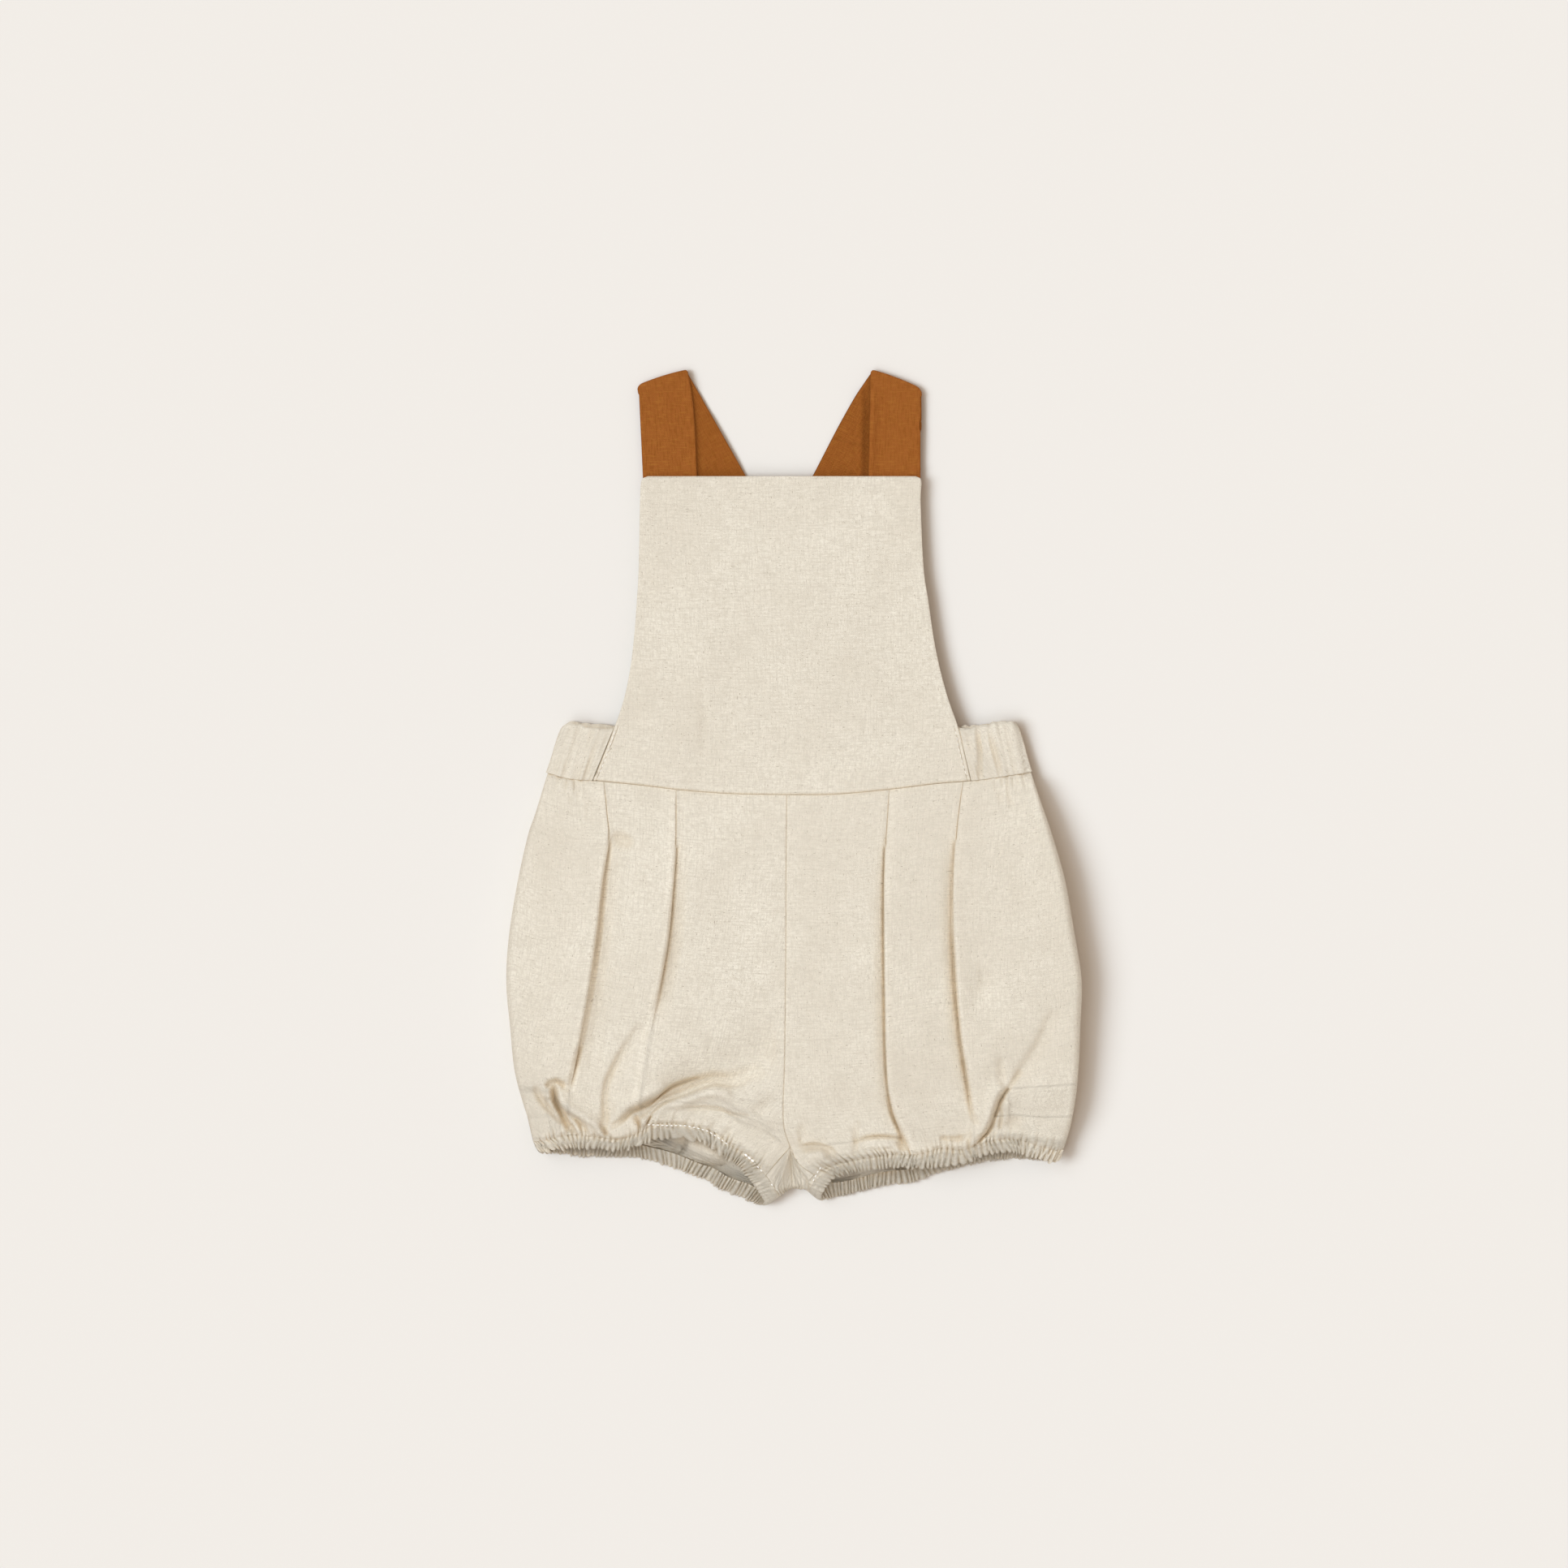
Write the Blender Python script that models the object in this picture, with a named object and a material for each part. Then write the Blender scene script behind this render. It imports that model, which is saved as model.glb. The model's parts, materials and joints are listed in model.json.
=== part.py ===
"""Baby romper lying flat on its back: linen bib and bloomers, cotton straps, elastic casings.

World axes: +X to the right as the front faces the viewer, +Y towards the straps, +Z up off the
surface that the back lies on, with the origin under the middle. Left and right below are the
viewer's. The tables are in millimetres from a point near the middle; place() turns them into
metres from the origin.
"""

import math

import bmesh
import bpy
import numpy as np

MM = 0.001
CENTRE = np.array([0.23, -0.77, 0.0])  # the middle of the outline, in the tables' millimetres

# Walls
CLOTH = 1.3  # one layer of the bloomers
BIB = 2.0  # the bib is double
STRAP = 1.6
CASING = 2.6  # elastic casing at its middle
CASING_EDGE = 1.6
GAP = 0.3  # between pieces at a seam
HALF = GAP / 2

# Gathers, each one ridge of a casing
CUFF_FRONT_GATHERS = 36
CUFF_BACK_GATHERS = 40
WAIST_SIDE_GATHERS = 6
WAIST_BACK_GATHERS = 28
RIDGE = 0.45

PLEAT_STEP = 1.6  # height of a knife pleat's folded edge
PLEAT_RUN = 0.5  # half the width that the edge falls over

BIB_COLUMNS = 13
BIB_EDGE_DROP = 0.4  # how far the bib's two sides lie below its middle
STRAP_FRONT_Z = 2.8  # middle of the part that shows above the bib
STRAP_BACK_Z = STRAP / 2
STRAP_LIFT = STRAP + GAP  # where it passes over the other strap
STRAP_LIFT_REACH = (36, 60)  # from the crossing: lifted in full up to one, not at all past the other

LINEN = (0.79, 0.72, 0.60)
RUST = (0.30, 0.093, 0.018)


def table(names, *rows):
    """The rows as one array for each named column."""
    return dict(zip(names.split(), np.array(rows, float).T))


def points(grid, *names):
    """Named columns of a table side by side, as points."""
    return np.stack([grid[name] for name in names], axis=-1)


def smooth(at, knots, values, closed=False):
    """A cubic through the values, with its slope at each knot taken from the neighbours."""
    knots = np.asarray(knots, float)
    values = np.asarray(values, float)
    if closed:
        span = knots[-1] - knots[0]
        knots = np.concatenate([knots[-3:-1] - span, knots, knots[1:3] + span])
        values = np.concatenate([values[-3:-1], values, values[1:3]])
    slopes = np.gradient(values, knots, axis=0)
    at = np.asarray(at, float)
    low = np.clip(np.searchsorted(knots, at, side="right") - 1, 0, len(knots) - 2)
    step = knots[low + 1] - knots[low]
    part = (at - knots[low]) / step
    shape = part.shape + (1,) * (values.ndim - 1)
    part = part.reshape(shape)
    step = step.reshape(shape)
    return (
        (2 * part**3 - 3 * part**2 + 1) * values[low]
        + (part**3 - 2 * part**2 + part) * step * slopes[low]
        + (3 * part**2 - 2 * part**3) * values[low + 1]
        + (part**3 - part**2) * step * slopes[low + 1]
    )


def lengths(line):
    """Distance run along a line at each of its points."""
    steps = np.linalg.norm(np.diff(line, axis=0), axis=1)
    return np.concatenate([[0], np.cumsum(steps)])


def unit(vectors):
    return vectors / np.linalg.norm(vectors, axis=-1, keepdims=True)


# ---------------------------------------------------------------- outlines shared by the pieces

# The seam under the bib and the waistband, left to right.
WAIST_SEAM = table(
    "x y",
    (-132.3, 7.0),
    (-120.9, 3.8),
    (-108.1, 2.8),
    (-79.4, 0.0),
    (-63.2, -2.0),
    (-43.6, -3.7),
    (-3.5, -4.8),
    (21.4, -4.6),
    (51.4, -2.0),
    (79.4, 1.4),
    (95.0, 2.6),
    (112.5, 5.0),
    (127.6, 7.4),
)

# Half of the bloomers' front, one row a level from the waist to the hem: where the side, the
# two pleats and the centre line lie, and how high the cloth stands at each. From the crotch on,
# the centre line is the inside-leg seam. roll is how far in the side rounds over, and edge how
# high the side seam lies.
FRONT_COLUMNS = (
    "side_x side_y outer_x outer_y inner_x inner_y end_x end_y"
    " side_z outer_z inner_z end_z roll edge"
)
LEFT_FRONT = table(
    FRONT_COLUMNS,
    (-132.3, 7.0, -102.0, 2.3, -63.2, -2.0, -3.7, -4.8, 8.0, 8.0, 8.0, 8.0, 5, 4.0),
    (-138.6, -13.7, -100.3, -15.0, -63.2, -18.0, -3.8, -20.0, 12.0, 12.5, 12.5, 11.0, 8, 4.6),
    (-143.0, -27.0, -99.4, -28.0, -63.4, -31.0, -4.0, -36.0, 14.0, 15.0, 15.0, 12.5, 11, 5.2),
    (-148.5, -52.0, -102.9, -51.0, -65.0, -54.0, -4.1, -60.0, 15.5, 17.0, 17.0, 14.0, 13, 5.5),
    (-153.0, -80.0, -106.0, -79.0, -67.6, -82.0, -4.2, -90.0, 16.0, 18.0, 18.5, 15.5, 14, 5.5),
    (-154.5, -105.0, -110.0, -108.0, -72.5, -110.0, -4.5, -122.0, 16.0, 18.5, 19.0, 16.0, 14, 5.5),
    (-152.4, -130.0, -114.8, -134.0, -77.8, -138.0, -4.9, -150.0, 15.5, 18.0, 18.5, 15.5, 14, 5.5),
    (-150.2, -152.0, -118.6, -155.0, -81.0, -158.0, -5.6, -172.0, 14.5, 16.5, 17.0, 13.0, 13, 5.5),
    (-146.2, -168.0, -121.0, -169.0, -82.6, -170.5, -5.0, -184.0, 13.5, 15.0, 15.0, 10.5, 11, 5.5),
    (-143.0, -178.0, -120.6, -177.5, -83.0, -178.0, -1.8, -194.2, 12.5, 13.0, 13.5, 8.0, 9, 5.5),
    (-138.9, -190.6, -119.6, -187.4, -83.3, -186.0, -15.1, -208.8, 11.0, 11.0, 11.0, 10.6, 7, 5.5),
)
RIGHT_FRONT = table(
    FRONT_COLUMNS,
    (127.6, 7.4, 91.1, 2.3, 51.4, -2.0, -3.7, -4.8, 8.0, 8.0, 8.0, 8.0, 5, 4.0),
    (133.5, -10.0, 88.7, -15.0, 50.4, -18.0, -3.8, -20.0, 12.0, 12.5, 12.5, 11.0, 8, 4.6),
    (138.6, -25.0, 87.4, -28.0, 49.6, -31.0, -4.0, -36.0, 14.0, 15.0, 15.0, 12.5, 11, 5.2),
    (145.8, -50.0, 86.2, -51.0, 48.9, -54.0, -4.1, -60.0, 15.5, 17.0, 17.0, 14.0, 13, 5.5),
    (150.6, -77.0, 86.2, -79.0, 49.0, -82.0, -4.2, -90.0, 16.0, 18.0, 18.5, 15.5, 14, 5.5),
    (154.8, -104.0, 87.6, -108.0, 49.3, -110.0, -4.5, -122.0, 16.0, 18.5, 19.0, 16.0, 14, 5.5),
    (154.2, -128.0, 90.0, -134.0, 49.7, -138.0, -4.9, -150.0, 15.5, 18.0, 18.5, 15.5, 14, 5.5),
    (153.3, -150.0, 93.4, -155.0, 51.0, -160.0, -5.6, -172.0, 14.5, 16.5, 17.0, 13.0, 13, 5.5),
    (151.7, -167.0, 95.4, -170.0, 53.6, -174.0, -5.0, -184.0, 13.5, 15.0, 15.0, 10.5, 11, 5.5),
    (149.0, -181.0, 96.5, -182.0, 58.0, -186.0, -1.8, -194.2, 12.5, 13.0, 13.5, 8.0, 9, 5.5),
    (143.9, -194.0, 96.8, -193.4, 62.8, -197.6, 11.2, -208.6, 11.0, 11.0, 11.0, 10.6, 7, 5.5),
)
CROTCH_ROW = 9  # the row of both tables whose centre is the crotch point

# Each leg's elastic casing, one row a station round the opening: the gathered edge that meets
# the leg, the free edge, and the height of the casing's middle. It starts at the side, runs over
# the front to the inside-leg fold and comes back along the floor.
CUFF_COLUMNS = "leg_x leg_y free_x free_y z"
LEFT_CUFF = table(
    CUFF_COLUMNS,
    (-138.9, -190.8, -136.0, -196.6, 5.5),
    (-133.4, -190.0, -129.5, -195.6, 9.2),
    (-120.8, -187.3, -119.9, -194.6, 9.7),
    (-107.3, -188.1, -106.8, -194.4, 9.7),
    (-93.3, -189.2, -92.9, -195.2, 9.7),
    (-83.3, -186.0, -82.0, -192.9, 9.7),
    (-75.0, -181.6, -74.6, -189.6, 9.7),
    (-58.4, -181.8, -56.2, -189.6, 9.7),
    (-43.2, -185.3, -45.8, -192.6, 9.7),
    (-31.4, -194.2, -35.8, -199.8, 9.7),
    (-24.9, -197.9, -30.5, -203.4, 9.7),
    (-15.1, -209.0, -22.2, -212.8, 9.4),
    (-10.6, -215.0, -17.9, -219.6, 8.0),
    (-7.4, -218.9, -15.2, -224.9, 4.6),
    (-12.6, -218.6, -19.0, -225.0, 1.5),
    (-24.9, -213.8, -28.8, -221.0, 1.3),
    (-34.4, -210.6, -38.8, -217.0, 1.3),
    (-43.2, -205.6, -49.4, -211.0, 1.3),
    (-52.0, -202.6, -57.0, -208.4, 1.3),
    (-62.8, -198.2, -64.5, -205.6, 1.3),
    (-78.9, -193.8, -76.3, -201.6, 1.3),
    (-88.5, -191.8, -87.2, -199.4, 1.3),
    (-102.5, -191.0, -102.5, -199.2, 1.3),
    (-116.4, -191.0, -116.4, -199.0, 1.3),
    (-127.3, -190.8, -126.8, -197.4, 1.5),
)
RIGHT_CUFF = table(
    CUFF_COLUMNS,
    (144.2, -194.6, 141.7, -200.4, 5.5),
    (140.0, -195.2, 137.0, -201.6, 8.4),
    (133.4, -193.6, 130.5, -199.8, 9.7),
    (117.5, -189.4, 117.0, -196.6, 9.7),
    (104.6, -190.8, 104.9, -197.4, 9.7),
    (89.4, -195.0, 90.8, -202.4, 9.7),
    (79.8, -194.2, 80.8, -204.0, 9.7),
    (67.1, -197.6, 68.0, -204.8, 9.7),
    (51.9, -197.6, 52.5, -204.6, 9.7),
    (34.9, -200.3, 36.0, -206.8, 9.7),
    (18.3, -204.4, 22.7, -210.0, 9.7),
    (11.2, -208.8, 18.7, -213.6, 9.4),
    (7.6, -213.0, 15.6, -218.4, 8.0),
    (7.2, -216.0, 14.8, -222.4, 4.6),
    (15.6, -214.0, 19.4, -221.6, 1.5),
    (27.5, -212.6, 29.5, -219.6, 1.3),
    (36.0, -210.6, 38.4, -217.2, 1.3),
    (45.0, -208.2, 46.6, -215.0, 1.3),
    (54.0, -206.8, 55.2, -213.8, 1.3),
    (63.4, -205.6, 65.0, -212.6, 1.3),
    (73.8, -200.8, 76.4, -208.0, 1.3),
    (88.4, -197.4, 89.8, -204.8, 1.3),
    (104.0, -195.0, 104.6, -201.6, 1.3),
    (120.0, -193.6, 119.6, -200.4, 1.3),
    (134.6, -194.4, 132.6, -201.0, 1.5),
)
INSEAM_STATION = 11  # the station of both tables where the inside-leg seam meets the casing

# The back from the crotch fold on, where it turns up onto the top: where each row folds over,
# the radius it folds round, and where it ends at the top.
TURN_COLUMNS = "fold_x fold_y heading radius end_x end_y end_z"
LEFT_TURN = table(
    TURN_COLUMNS,
    (-3.0, -218.1, -84, 2.4, -0.9, -212.5, 4.4),
    (-4.0, -218.5, -74, 2.9, -1.1, -206.0, 5.2),
    (-4.9, -218.8, -62, 3.5, -1.5, -199.5, 6.6),
    (-5.7, -219.0, -52, 4.2, -1.8, -194.2, 8.0),
    (-6.6, -219.1, -42, 4.8, -9.6, -202.6, 9.8),
    (-7.4, -218.7, -32, 4.9, -15.1, -208.8, 10.6),
)
RIGHT_TURN = table(
    TURN_COLUMNS,
    (1.0, -216.9, -96, 2.4, -0.9, -212.5, 4.4),
    (2.4, -217.0, -106, 2.9, -1.1, -206.0, 5.2),
    (3.8, -217.0, -118, 3.5, -1.5, -199.5, 6.6),
    (5.1, -216.8, -128, 4.2, -1.8, -194.2, 8.0),
    (6.2, -216.4, -138, 4.8, 2.6, -202.6, 9.8),
    (7.2, -216.0, -145, 4.9, 11.2, -208.6, 10.6),
)
CENTRE_FOLD = {"fold_x": -1.0, "fold_y": -216.9, "heading": -90, "radius": 2.0}
CROTCH_TURN = 3  # the row of both tables that ends at the crotch point

# Casing at the waist, one row a station: from the bib's left edge round the left side, along the
# floor and round the right side to the bib's right edge.
WAISTBAND = table(
    "top_x top_y low_x low_y z",
    (-96.8, 31.3, -108.5, 2.9, 6.7),
    (-106.8, 31.3, -114.6, 3.2, 6.7),
    (-114.6, 33.0, -120.9, 4.0, 6.4),
    (-120.4, 34.5, -127.6, 5.8, 5.7),
    (-123.1, 34.9, -131.0, 7.0, 4.0),
    (-120.4, 34.8, -127.2, 6.0, 1.7),
    (-110.0, 34.0, -114.0, 3.4, 1.3),
    (-60.0, 30.5, -60.0, -2.3, 1.3),
    (0.0, 28.5, 0.0, -4.8, 1.3),
    (60.0, 30.5, 60.0, -1.0, 1.3),
    (107.0, 34.0, 110.0, 5.0, 1.3),
    (117.2, 35.2, 123.0, 7.0, 1.7),
    (119.5, 35.5, 126.3, 7.4, 4.0),
    (117.0, 35.3, 123.4, 6.8, 5.7),
    (110.5, 34.8, 116.6, 5.8, 6.4),
    (100.5, 32.4, 105.4, 4.0, 6.7),
    (88.9, 31.0, 95.7, 2.7, 6.7),
)
WAIST_LEFT_SIDE = 4  # its stations at the two sides
WAIST_RIGHT_SIDE = 12

# The bib's outline, one row a level from its top edge to the waist seam, and its height.
BIB_ROWS = table(
    "left_x left_y right_x right_y z",
    (-78.6, 166.6, 65.8, 166.6, 6.4),
    (-81.8, 164.0, 68.6, 164.0, 6.4),
    (-82.6, 152.0, 68.3, 152.0, 6.4),
    (-83.3, 118.0, 69.8, 118.0, 6.9),
    (-84.3, 99.6, 72.4, 99.6, 7.1),
    (-85.8, 80.0, 75.2, 80.0, 7.3),
    (-87.7, 64.0, 78.4, 64.0, 7.5),
    (-91.1, 47.3, 82.9, 47.3, 7.8),
    (-96.4, 31.3, 88.5, 31.2, 8.1),
    (-102.2, 17.0, 91.9, 17.0, 8.2),
    (-108.1, 3.0, 95.3, 2.8, 8.3),
)

# Each strap's two edges: its end under the bib, the fold at the shoulder and its end at the
# back of the waist.
STRAP_COLUMNS = "front_x front_y fold_x fold_y back_x back_y"
LEFT_STRAP = table(
    STRAP_COLUMNS,
    (-80.7, 156.5, -84.8, 215.6, 17.4, 32.0),
    (-51.3, 156.5, -57.6, 224.3, 51.4, 32.0),
)
RIGHT_STRAP = table(
    STRAP_COLUMNS,
    (40.1, 156.5, 42.3, 224.3, -66.2, 32.0),
    (68.2, 156.5, 70.2, 213.4, -32.2, 32.0),
)
STRAP_CROSSING = (-7.4, 107.2)

# The largest creases in the front, each a trough (negative) or ridge along a bent line.
CREASE_COLUMNS = "x0 y0 x1 y1 x2 y2 height width"
LEFT_CREASES = table(
    CREASE_COLUMNS,
    (-128.5, -159.0, -126.5, -170.0, -120.5, -182.0, -2.6, 3.6),
    (-125.0, -171.0, -113.0, -176.5, -100.0, -183.0, 2.0, 4.0),
    (-81.0, -183.0, -72.0, -170.5, -55.0, -161.5, -3.6, 5.0),
    (-60.0, -163.5, -44.0, -159.0, -26.0, -155.5, -3.2, 6.0),
    (-64.0, -177.0, -40.0, -175.0, -20.0, -172.0, -1.8, 4.5),
    (-95.0, -150.0, -102.0, -165.0, -103.0, -179.0, -2.0, 6.0),
)
RIGHT_CREASES = table(
    CREASE_COLUMNS,
    (122.0, -148.0, 114.0, -162.0, 109.0, -172.0, -3.0, 5.0),
    (109.0, -170.0, 106.0, -181.0, 99.0, -190.0, -2.4, 4.0),
    (34.0, -178.0, 34.5, -188.0, 34.0, -197.0, -2.2, 3.0),
    (56.0, -176.0, 66.0, -188.5, 84.0, -190.5, -2.4, 4.5),
    (4.0, -192.5, 12.0, -194.5, 22.0, -199.5, -2.0, 3.5),
    (84.0, -104.0, 97.0, -112.0, 112.0, -108.0, -1.8, 9.0),
)


# ---------------------------------------------------------------- making the meshes


def material(name, colour, roughness):
    made = bpy.data.materials.new(name)
    made.use_nodes = True
    shader = made.node_tree.nodes["Principled BSDF"]
    shader.inputs["Base Color"].default_value = (*colour, 1)
    shader.inputs["Roughness"].default_value = roughness
    shader.inputs["Metallic"].default_value = 0
    return made


def finish(bm, name, look):
    """Makes the mesh an object, with its faces out."""
    bmesh.ops.recalc_face_normals(bm, faces=bm.faces)
    if bm.calc_volume(signed=True) < 0:
        bmesh.ops.reverse_faces(bm, faces=bm.faces)
    mesh = bpy.data.meshes.new(name)
    bm.to_mesh(mesh)
    bm.free()
    mesh.materials.append(look)
    mesh.shade_smooth()
    made = bpy.data.objects.new(name, mesh)
    bpy.context.scene.collection.objects.link(made)


def place(verts, grid):
    """Moves the vertices of a flat grid, row by row, to the points."""
    in_rows = sorted(verts, key=lambda vert: (round(vert.co.y, 5), round(vert.co.x, 5)))
    for vert, point in zip(in_rows, grid.reshape(-1, 3)):
        vert.co = (point - CENTRE) * MM


def flat_grid(bm, grid):
    rows, columns = grid.shape[:2]
    made = bmesh.ops.create_grid(bm, x_segments=columns - 1, y_segments=rows - 1, size=1)
    return made["verts"]


def wall(name, outer, inner, look):
    """Cloth between its two faces, closed along all four edges."""
    bm = bmesh.new()
    near = flat_grid(bm, outer)
    made = bmesh.ops.extrude_face_region(bm, geom=bm.faces[:], use_keep_orig=True)["geom"]
    far = [part for part in made if isinstance(part, bmesh.types.BMVert)]
    place(far, inner)
    place(near, outer)
    finish(bm, name, look)


def ring(name, sections, look):
    """Cloth through closed sections that run right round and meet again."""
    bm = bmesh.new()
    around = np.concatenate([sections, sections[:1]])
    closed = np.concatenate([around, around[:, :1]], axis=1)
    verts = flat_grid(bm, closed)
    place(verts, closed)
    bmesh.ops.remove_doubles(bm, verts=verts, dist=0.01 * MM)
    finish(bm, name, look)


# ---------------------------------------------------------------- casings


def casing_line(stations, edges, samples, closed):
    """Both edges of a casing and its outward direction at each sample along its middle."""
    near = points(stations, f"{edges[0]}_x", f"{edges[0]}_y", "z")
    far = points(stations, f"{edges[1]}_x", f"{edges[1]}_y", "z")
    both = np.concatenate([near, far], axis=1)
    if closed:
        both = np.concatenate([both, both[:1]])
    knots = lengths((both[:, :3] + both[:, 3:]) / 2)
    at = np.interp(samples, range(len(knots)), knots)
    step = 0.5
    here = smooth(at, knots, both, closed)
    ahead = smooth(at + step, knots, both, closed) if closed else smooth(at + step, knots, both)
    behind = smooth(at - step, knots, both, closed)
    along = (ahead - behind)[:, :3] + (ahead - behind)[:, 3:]
    across = here[:, 3:] - here[:, :3]
    return here[:, :3], here[:, 3:], unit(np.cross(across, along))


def casing_sections(near, far, out, ridge_out, ridge_in):
    """Six points round the casing at each station: its outer face, then its inner one."""
    thick = (CASING_EDGE / 2, CASING / 2, CASING_EDGE / 2)
    middle = (near + far) / 2
    outer = []
    inner = []
    for place_on, half, share in zip((near, middle, far), thick, (0.7, 1.0, 0.3)):
        outer.append(place_on + out * (half + share * ridge_out))
        inner.append(place_on - out * (half + share * ridge_in))
    sections = np.stack(outer + inner[::-1], axis=1)
    on_floor = sections[..., 2] < CASING_EDGE / 2
    sections[..., 2][on_floor] = 0.0
    return sections


def ridges(count, samples_each=2):
    """Up and down by one ridge for each gather."""
    return np.where(np.arange(count * samples_each) % samples_each == 0, RIDGE, -RIDGE)[:, None]


def nearest_on(line, spots):
    """The point of a line of straight runs that is nearest to each spot."""
    start = line[:-1]
    run = line[1:] - start
    share = np.sum((spots[:, None] - start) * run, axis=2) / np.sum(run * run, axis=1)
    at = start + np.clip(share, 0, 1)[..., None] * run
    best = np.linalg.norm(at - spots[:, None], axis=2).argmin(axis=1)
    return at[np.arange(len(spots)), best]


def cuff(name, stations, leg_edge, side, look):
    """A leg's casing, just clear of the leg's edge all round: gathers on its upper face in
    front, and inside the part on the floor."""
    fold = INSEAM_STATION + 2
    count = len(stations["z"])
    front = np.linspace(0, fold, 2 * CUFF_FRONT_GATHERS, endpoint=False)
    back = np.linspace(fold, count, 2 * CUFF_BACK_GATHERS, endpoint=False)
    near, far, out = casing_line(stations, ("leg", "free"), np.append(front, back), True)
    out = -side * out
    near = nearest_on(leg_edge, near) + unit(far - near) * GAP
    upper = np.append(ridges(CUFF_FRONT_GATHERS), 0 * ridges(CUFF_BACK_GATHERS), axis=0)
    lower = np.append(0 * ridges(CUFF_FRONT_GATHERS), ridges(CUFF_BACK_GATHERS), axis=0)
    ring(name, casing_sections(near, far, out, upper, lower), look)


def waist_seam_at(x):
    inside = np.clip(x, WAIST_SEAM["x"][0], WAIST_SEAM["x"][-1])
    return smooth(inside, WAIST_SEAM["x"], WAIST_SEAM["y"])


def waistband_line():
    left = np.linspace(0, WAIST_LEFT_SIDE, 2 * WAIST_SIDE_GATHERS, endpoint=False)
    back = np.linspace(
        WAIST_LEFT_SIDE, WAIST_RIGHT_SIDE, 2 * WAIST_BACK_GATHERS, endpoint=False
    )
    right = np.linspace(WAIST_RIGHT_SIDE, len(WAISTBAND["z"]) - 1, 2 * WAIST_SIDE_GATHERS)
    samples = np.concatenate([left, back, right])
    top, low, out = casing_line(WAISTBAND, ("top", "low"), samples, False)
    low[:, 1] = waist_seam_at(low[:, 0]) + HALF
    return top, low, -out, (samples > WAIST_LEFT_SIDE) & (samples < WAIST_RIGHT_SIDE)


def waistband(look):
    """The casing round the back, open in front where the bib is."""
    top, low, out, lies_on_floor = waistband_line()
    count = len(top) // 2
    wave = ridges(count)
    upper = np.where(lies_on_floor[:, None], 0, wave)
    lower = np.where(lies_on_floor[:, None], wave, 0)
    sections = casing_sections(top, low, out, upper, lower)
    wall("back_waistband", sections[:, :3], sections[:, :2:-1], look)


# ---------------------------------------------------------------- bloomers


def rows_between(parts):
    """Row positions in a table, with each interval split as asked."""
    steps = [i + np.arange(n) / n for i, n in enumerate(parts)]
    return np.append(np.concatenate(steps), len(parts))


def offset_line(line, amount):
    """The line in plan moved sideways, to its right for a positive amount, mitred at bends."""
    steps = unit(np.diff(line[:, :2], axis=0))
    sideways = np.stack([steps[:, 1], -steps[:, 0]], axis=1)
    before = np.concatenate([sideways[:1], sideways])
    after = np.concatenate([sideways, sideways[-1:]])
    bisector = unit(before + after)
    reach = amount / np.sum(bisector * after, axis=1)
    moved = line.copy()
    moved[:, :2] += bisector * reach[:, None]
    return moved


def inseam(turn, at):
    """The inside-leg seam from the crotch (0) to the casing (1)."""
    ends = points(turn, "end_x", "end_y", "end_z")[CROTCH_TURN:]
    return smooth(np.asarray(at) * (len(ends) - 1), range(len(ends)), ends)


def centre_line(rows, turn, at):
    """The front's centre seam down to the crotch, then the inside-leg seam."""
    to_crotch = points(rows, "end_x", "end_y", "end_z")[: CROTCH_ROW + 1]
    seam = smooth(np.minimum(at, CROTCH_ROW), range(CROTCH_ROW + 1), to_crotch)
    leg = inseam(turn, np.clip(at - CROTCH_ROW, 0, 1))
    return np.where((at > CROTCH_ROW)[:, None], leg, seam)


def creased(grid, table_of_creases):
    """How far the creases move each point up or down."""
    rise = np.zeros(grid.shape[:2])
    plan = grid[..., :2]
    for row in zip(*table_of_creases.values()):
        x0, y0, x1, y1, x2, y2, height, width = row
        bend = np.array([(x0, y0), (x1, y1), (x2, y2)])
        best = np.full(grid.shape[:2], np.inf)
        along = np.zeros(grid.shape[:2])
        for part, (start, end) in enumerate(zip(bend[:-1], bend[1:])):
            run = end - start
            share = np.clip(np.sum((plan - start) * run, axis=-1) / np.dot(run, run), 0, 1)
            away = np.linalg.norm(plan - start - share[..., None] * run, axis=-1)
            along = np.where(away < best, (part + share) / 2, along)
            best = np.minimum(best, away)
        taper = np.sqrt(np.sin(np.pi * np.clip(along, 0.03, 0.97)))
        rise += height * taper * np.exp(-((best / width) ** 2))
    return rise


def hem_lines(stations, side, samples, side_z):
    """Both faces of a leg's cloth where it meets the gathered edge of its casing."""
    near, far, out = casing_line(stations, ("leg", "free"), samples, True)
    middle = near - unit(far - near) * HALF
    outer = middle - side * out * CASING / 2
    outer[:, 2] = np.where(outer[:, 2] < CASING / 2, 0, outer[:, 2])
    inner = middle - side * out * (CASING / 2 - CLOTH)
    outer[0, 2] = inner[0, 2] = side_z
    return outer, inner


def meet_hem(grids, hems):
    """Bends the last rows of both faces so that the last one lies on the hem, over more rows
    where it has further to go, so that none passes the next."""
    outer, inner = hems
    last = grids[0][-1]
    away = np.linalg.norm(last[:, None] - outer[None], axis=2)
    nearest = np.maximum.accumulate(away.argmin(axis=1))
    nearest[0] = 0
    nearest[-1] = len(outer) - 1
    rows_left = np.arange(len(grids[0]))[::-1]
    met = []
    for grid, hem in zip(grids, (outer, inner)):
        move = hem[nearest] - grid[-1]
        move[-1] = 0
        reach = 3 + 2 * np.linalg.norm(move, axis=1)
        ease = np.clip(1 - rows_left[:, None] / reach, 0, 1)
        met.append(grid + ease[..., None] * move)
    return met


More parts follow.
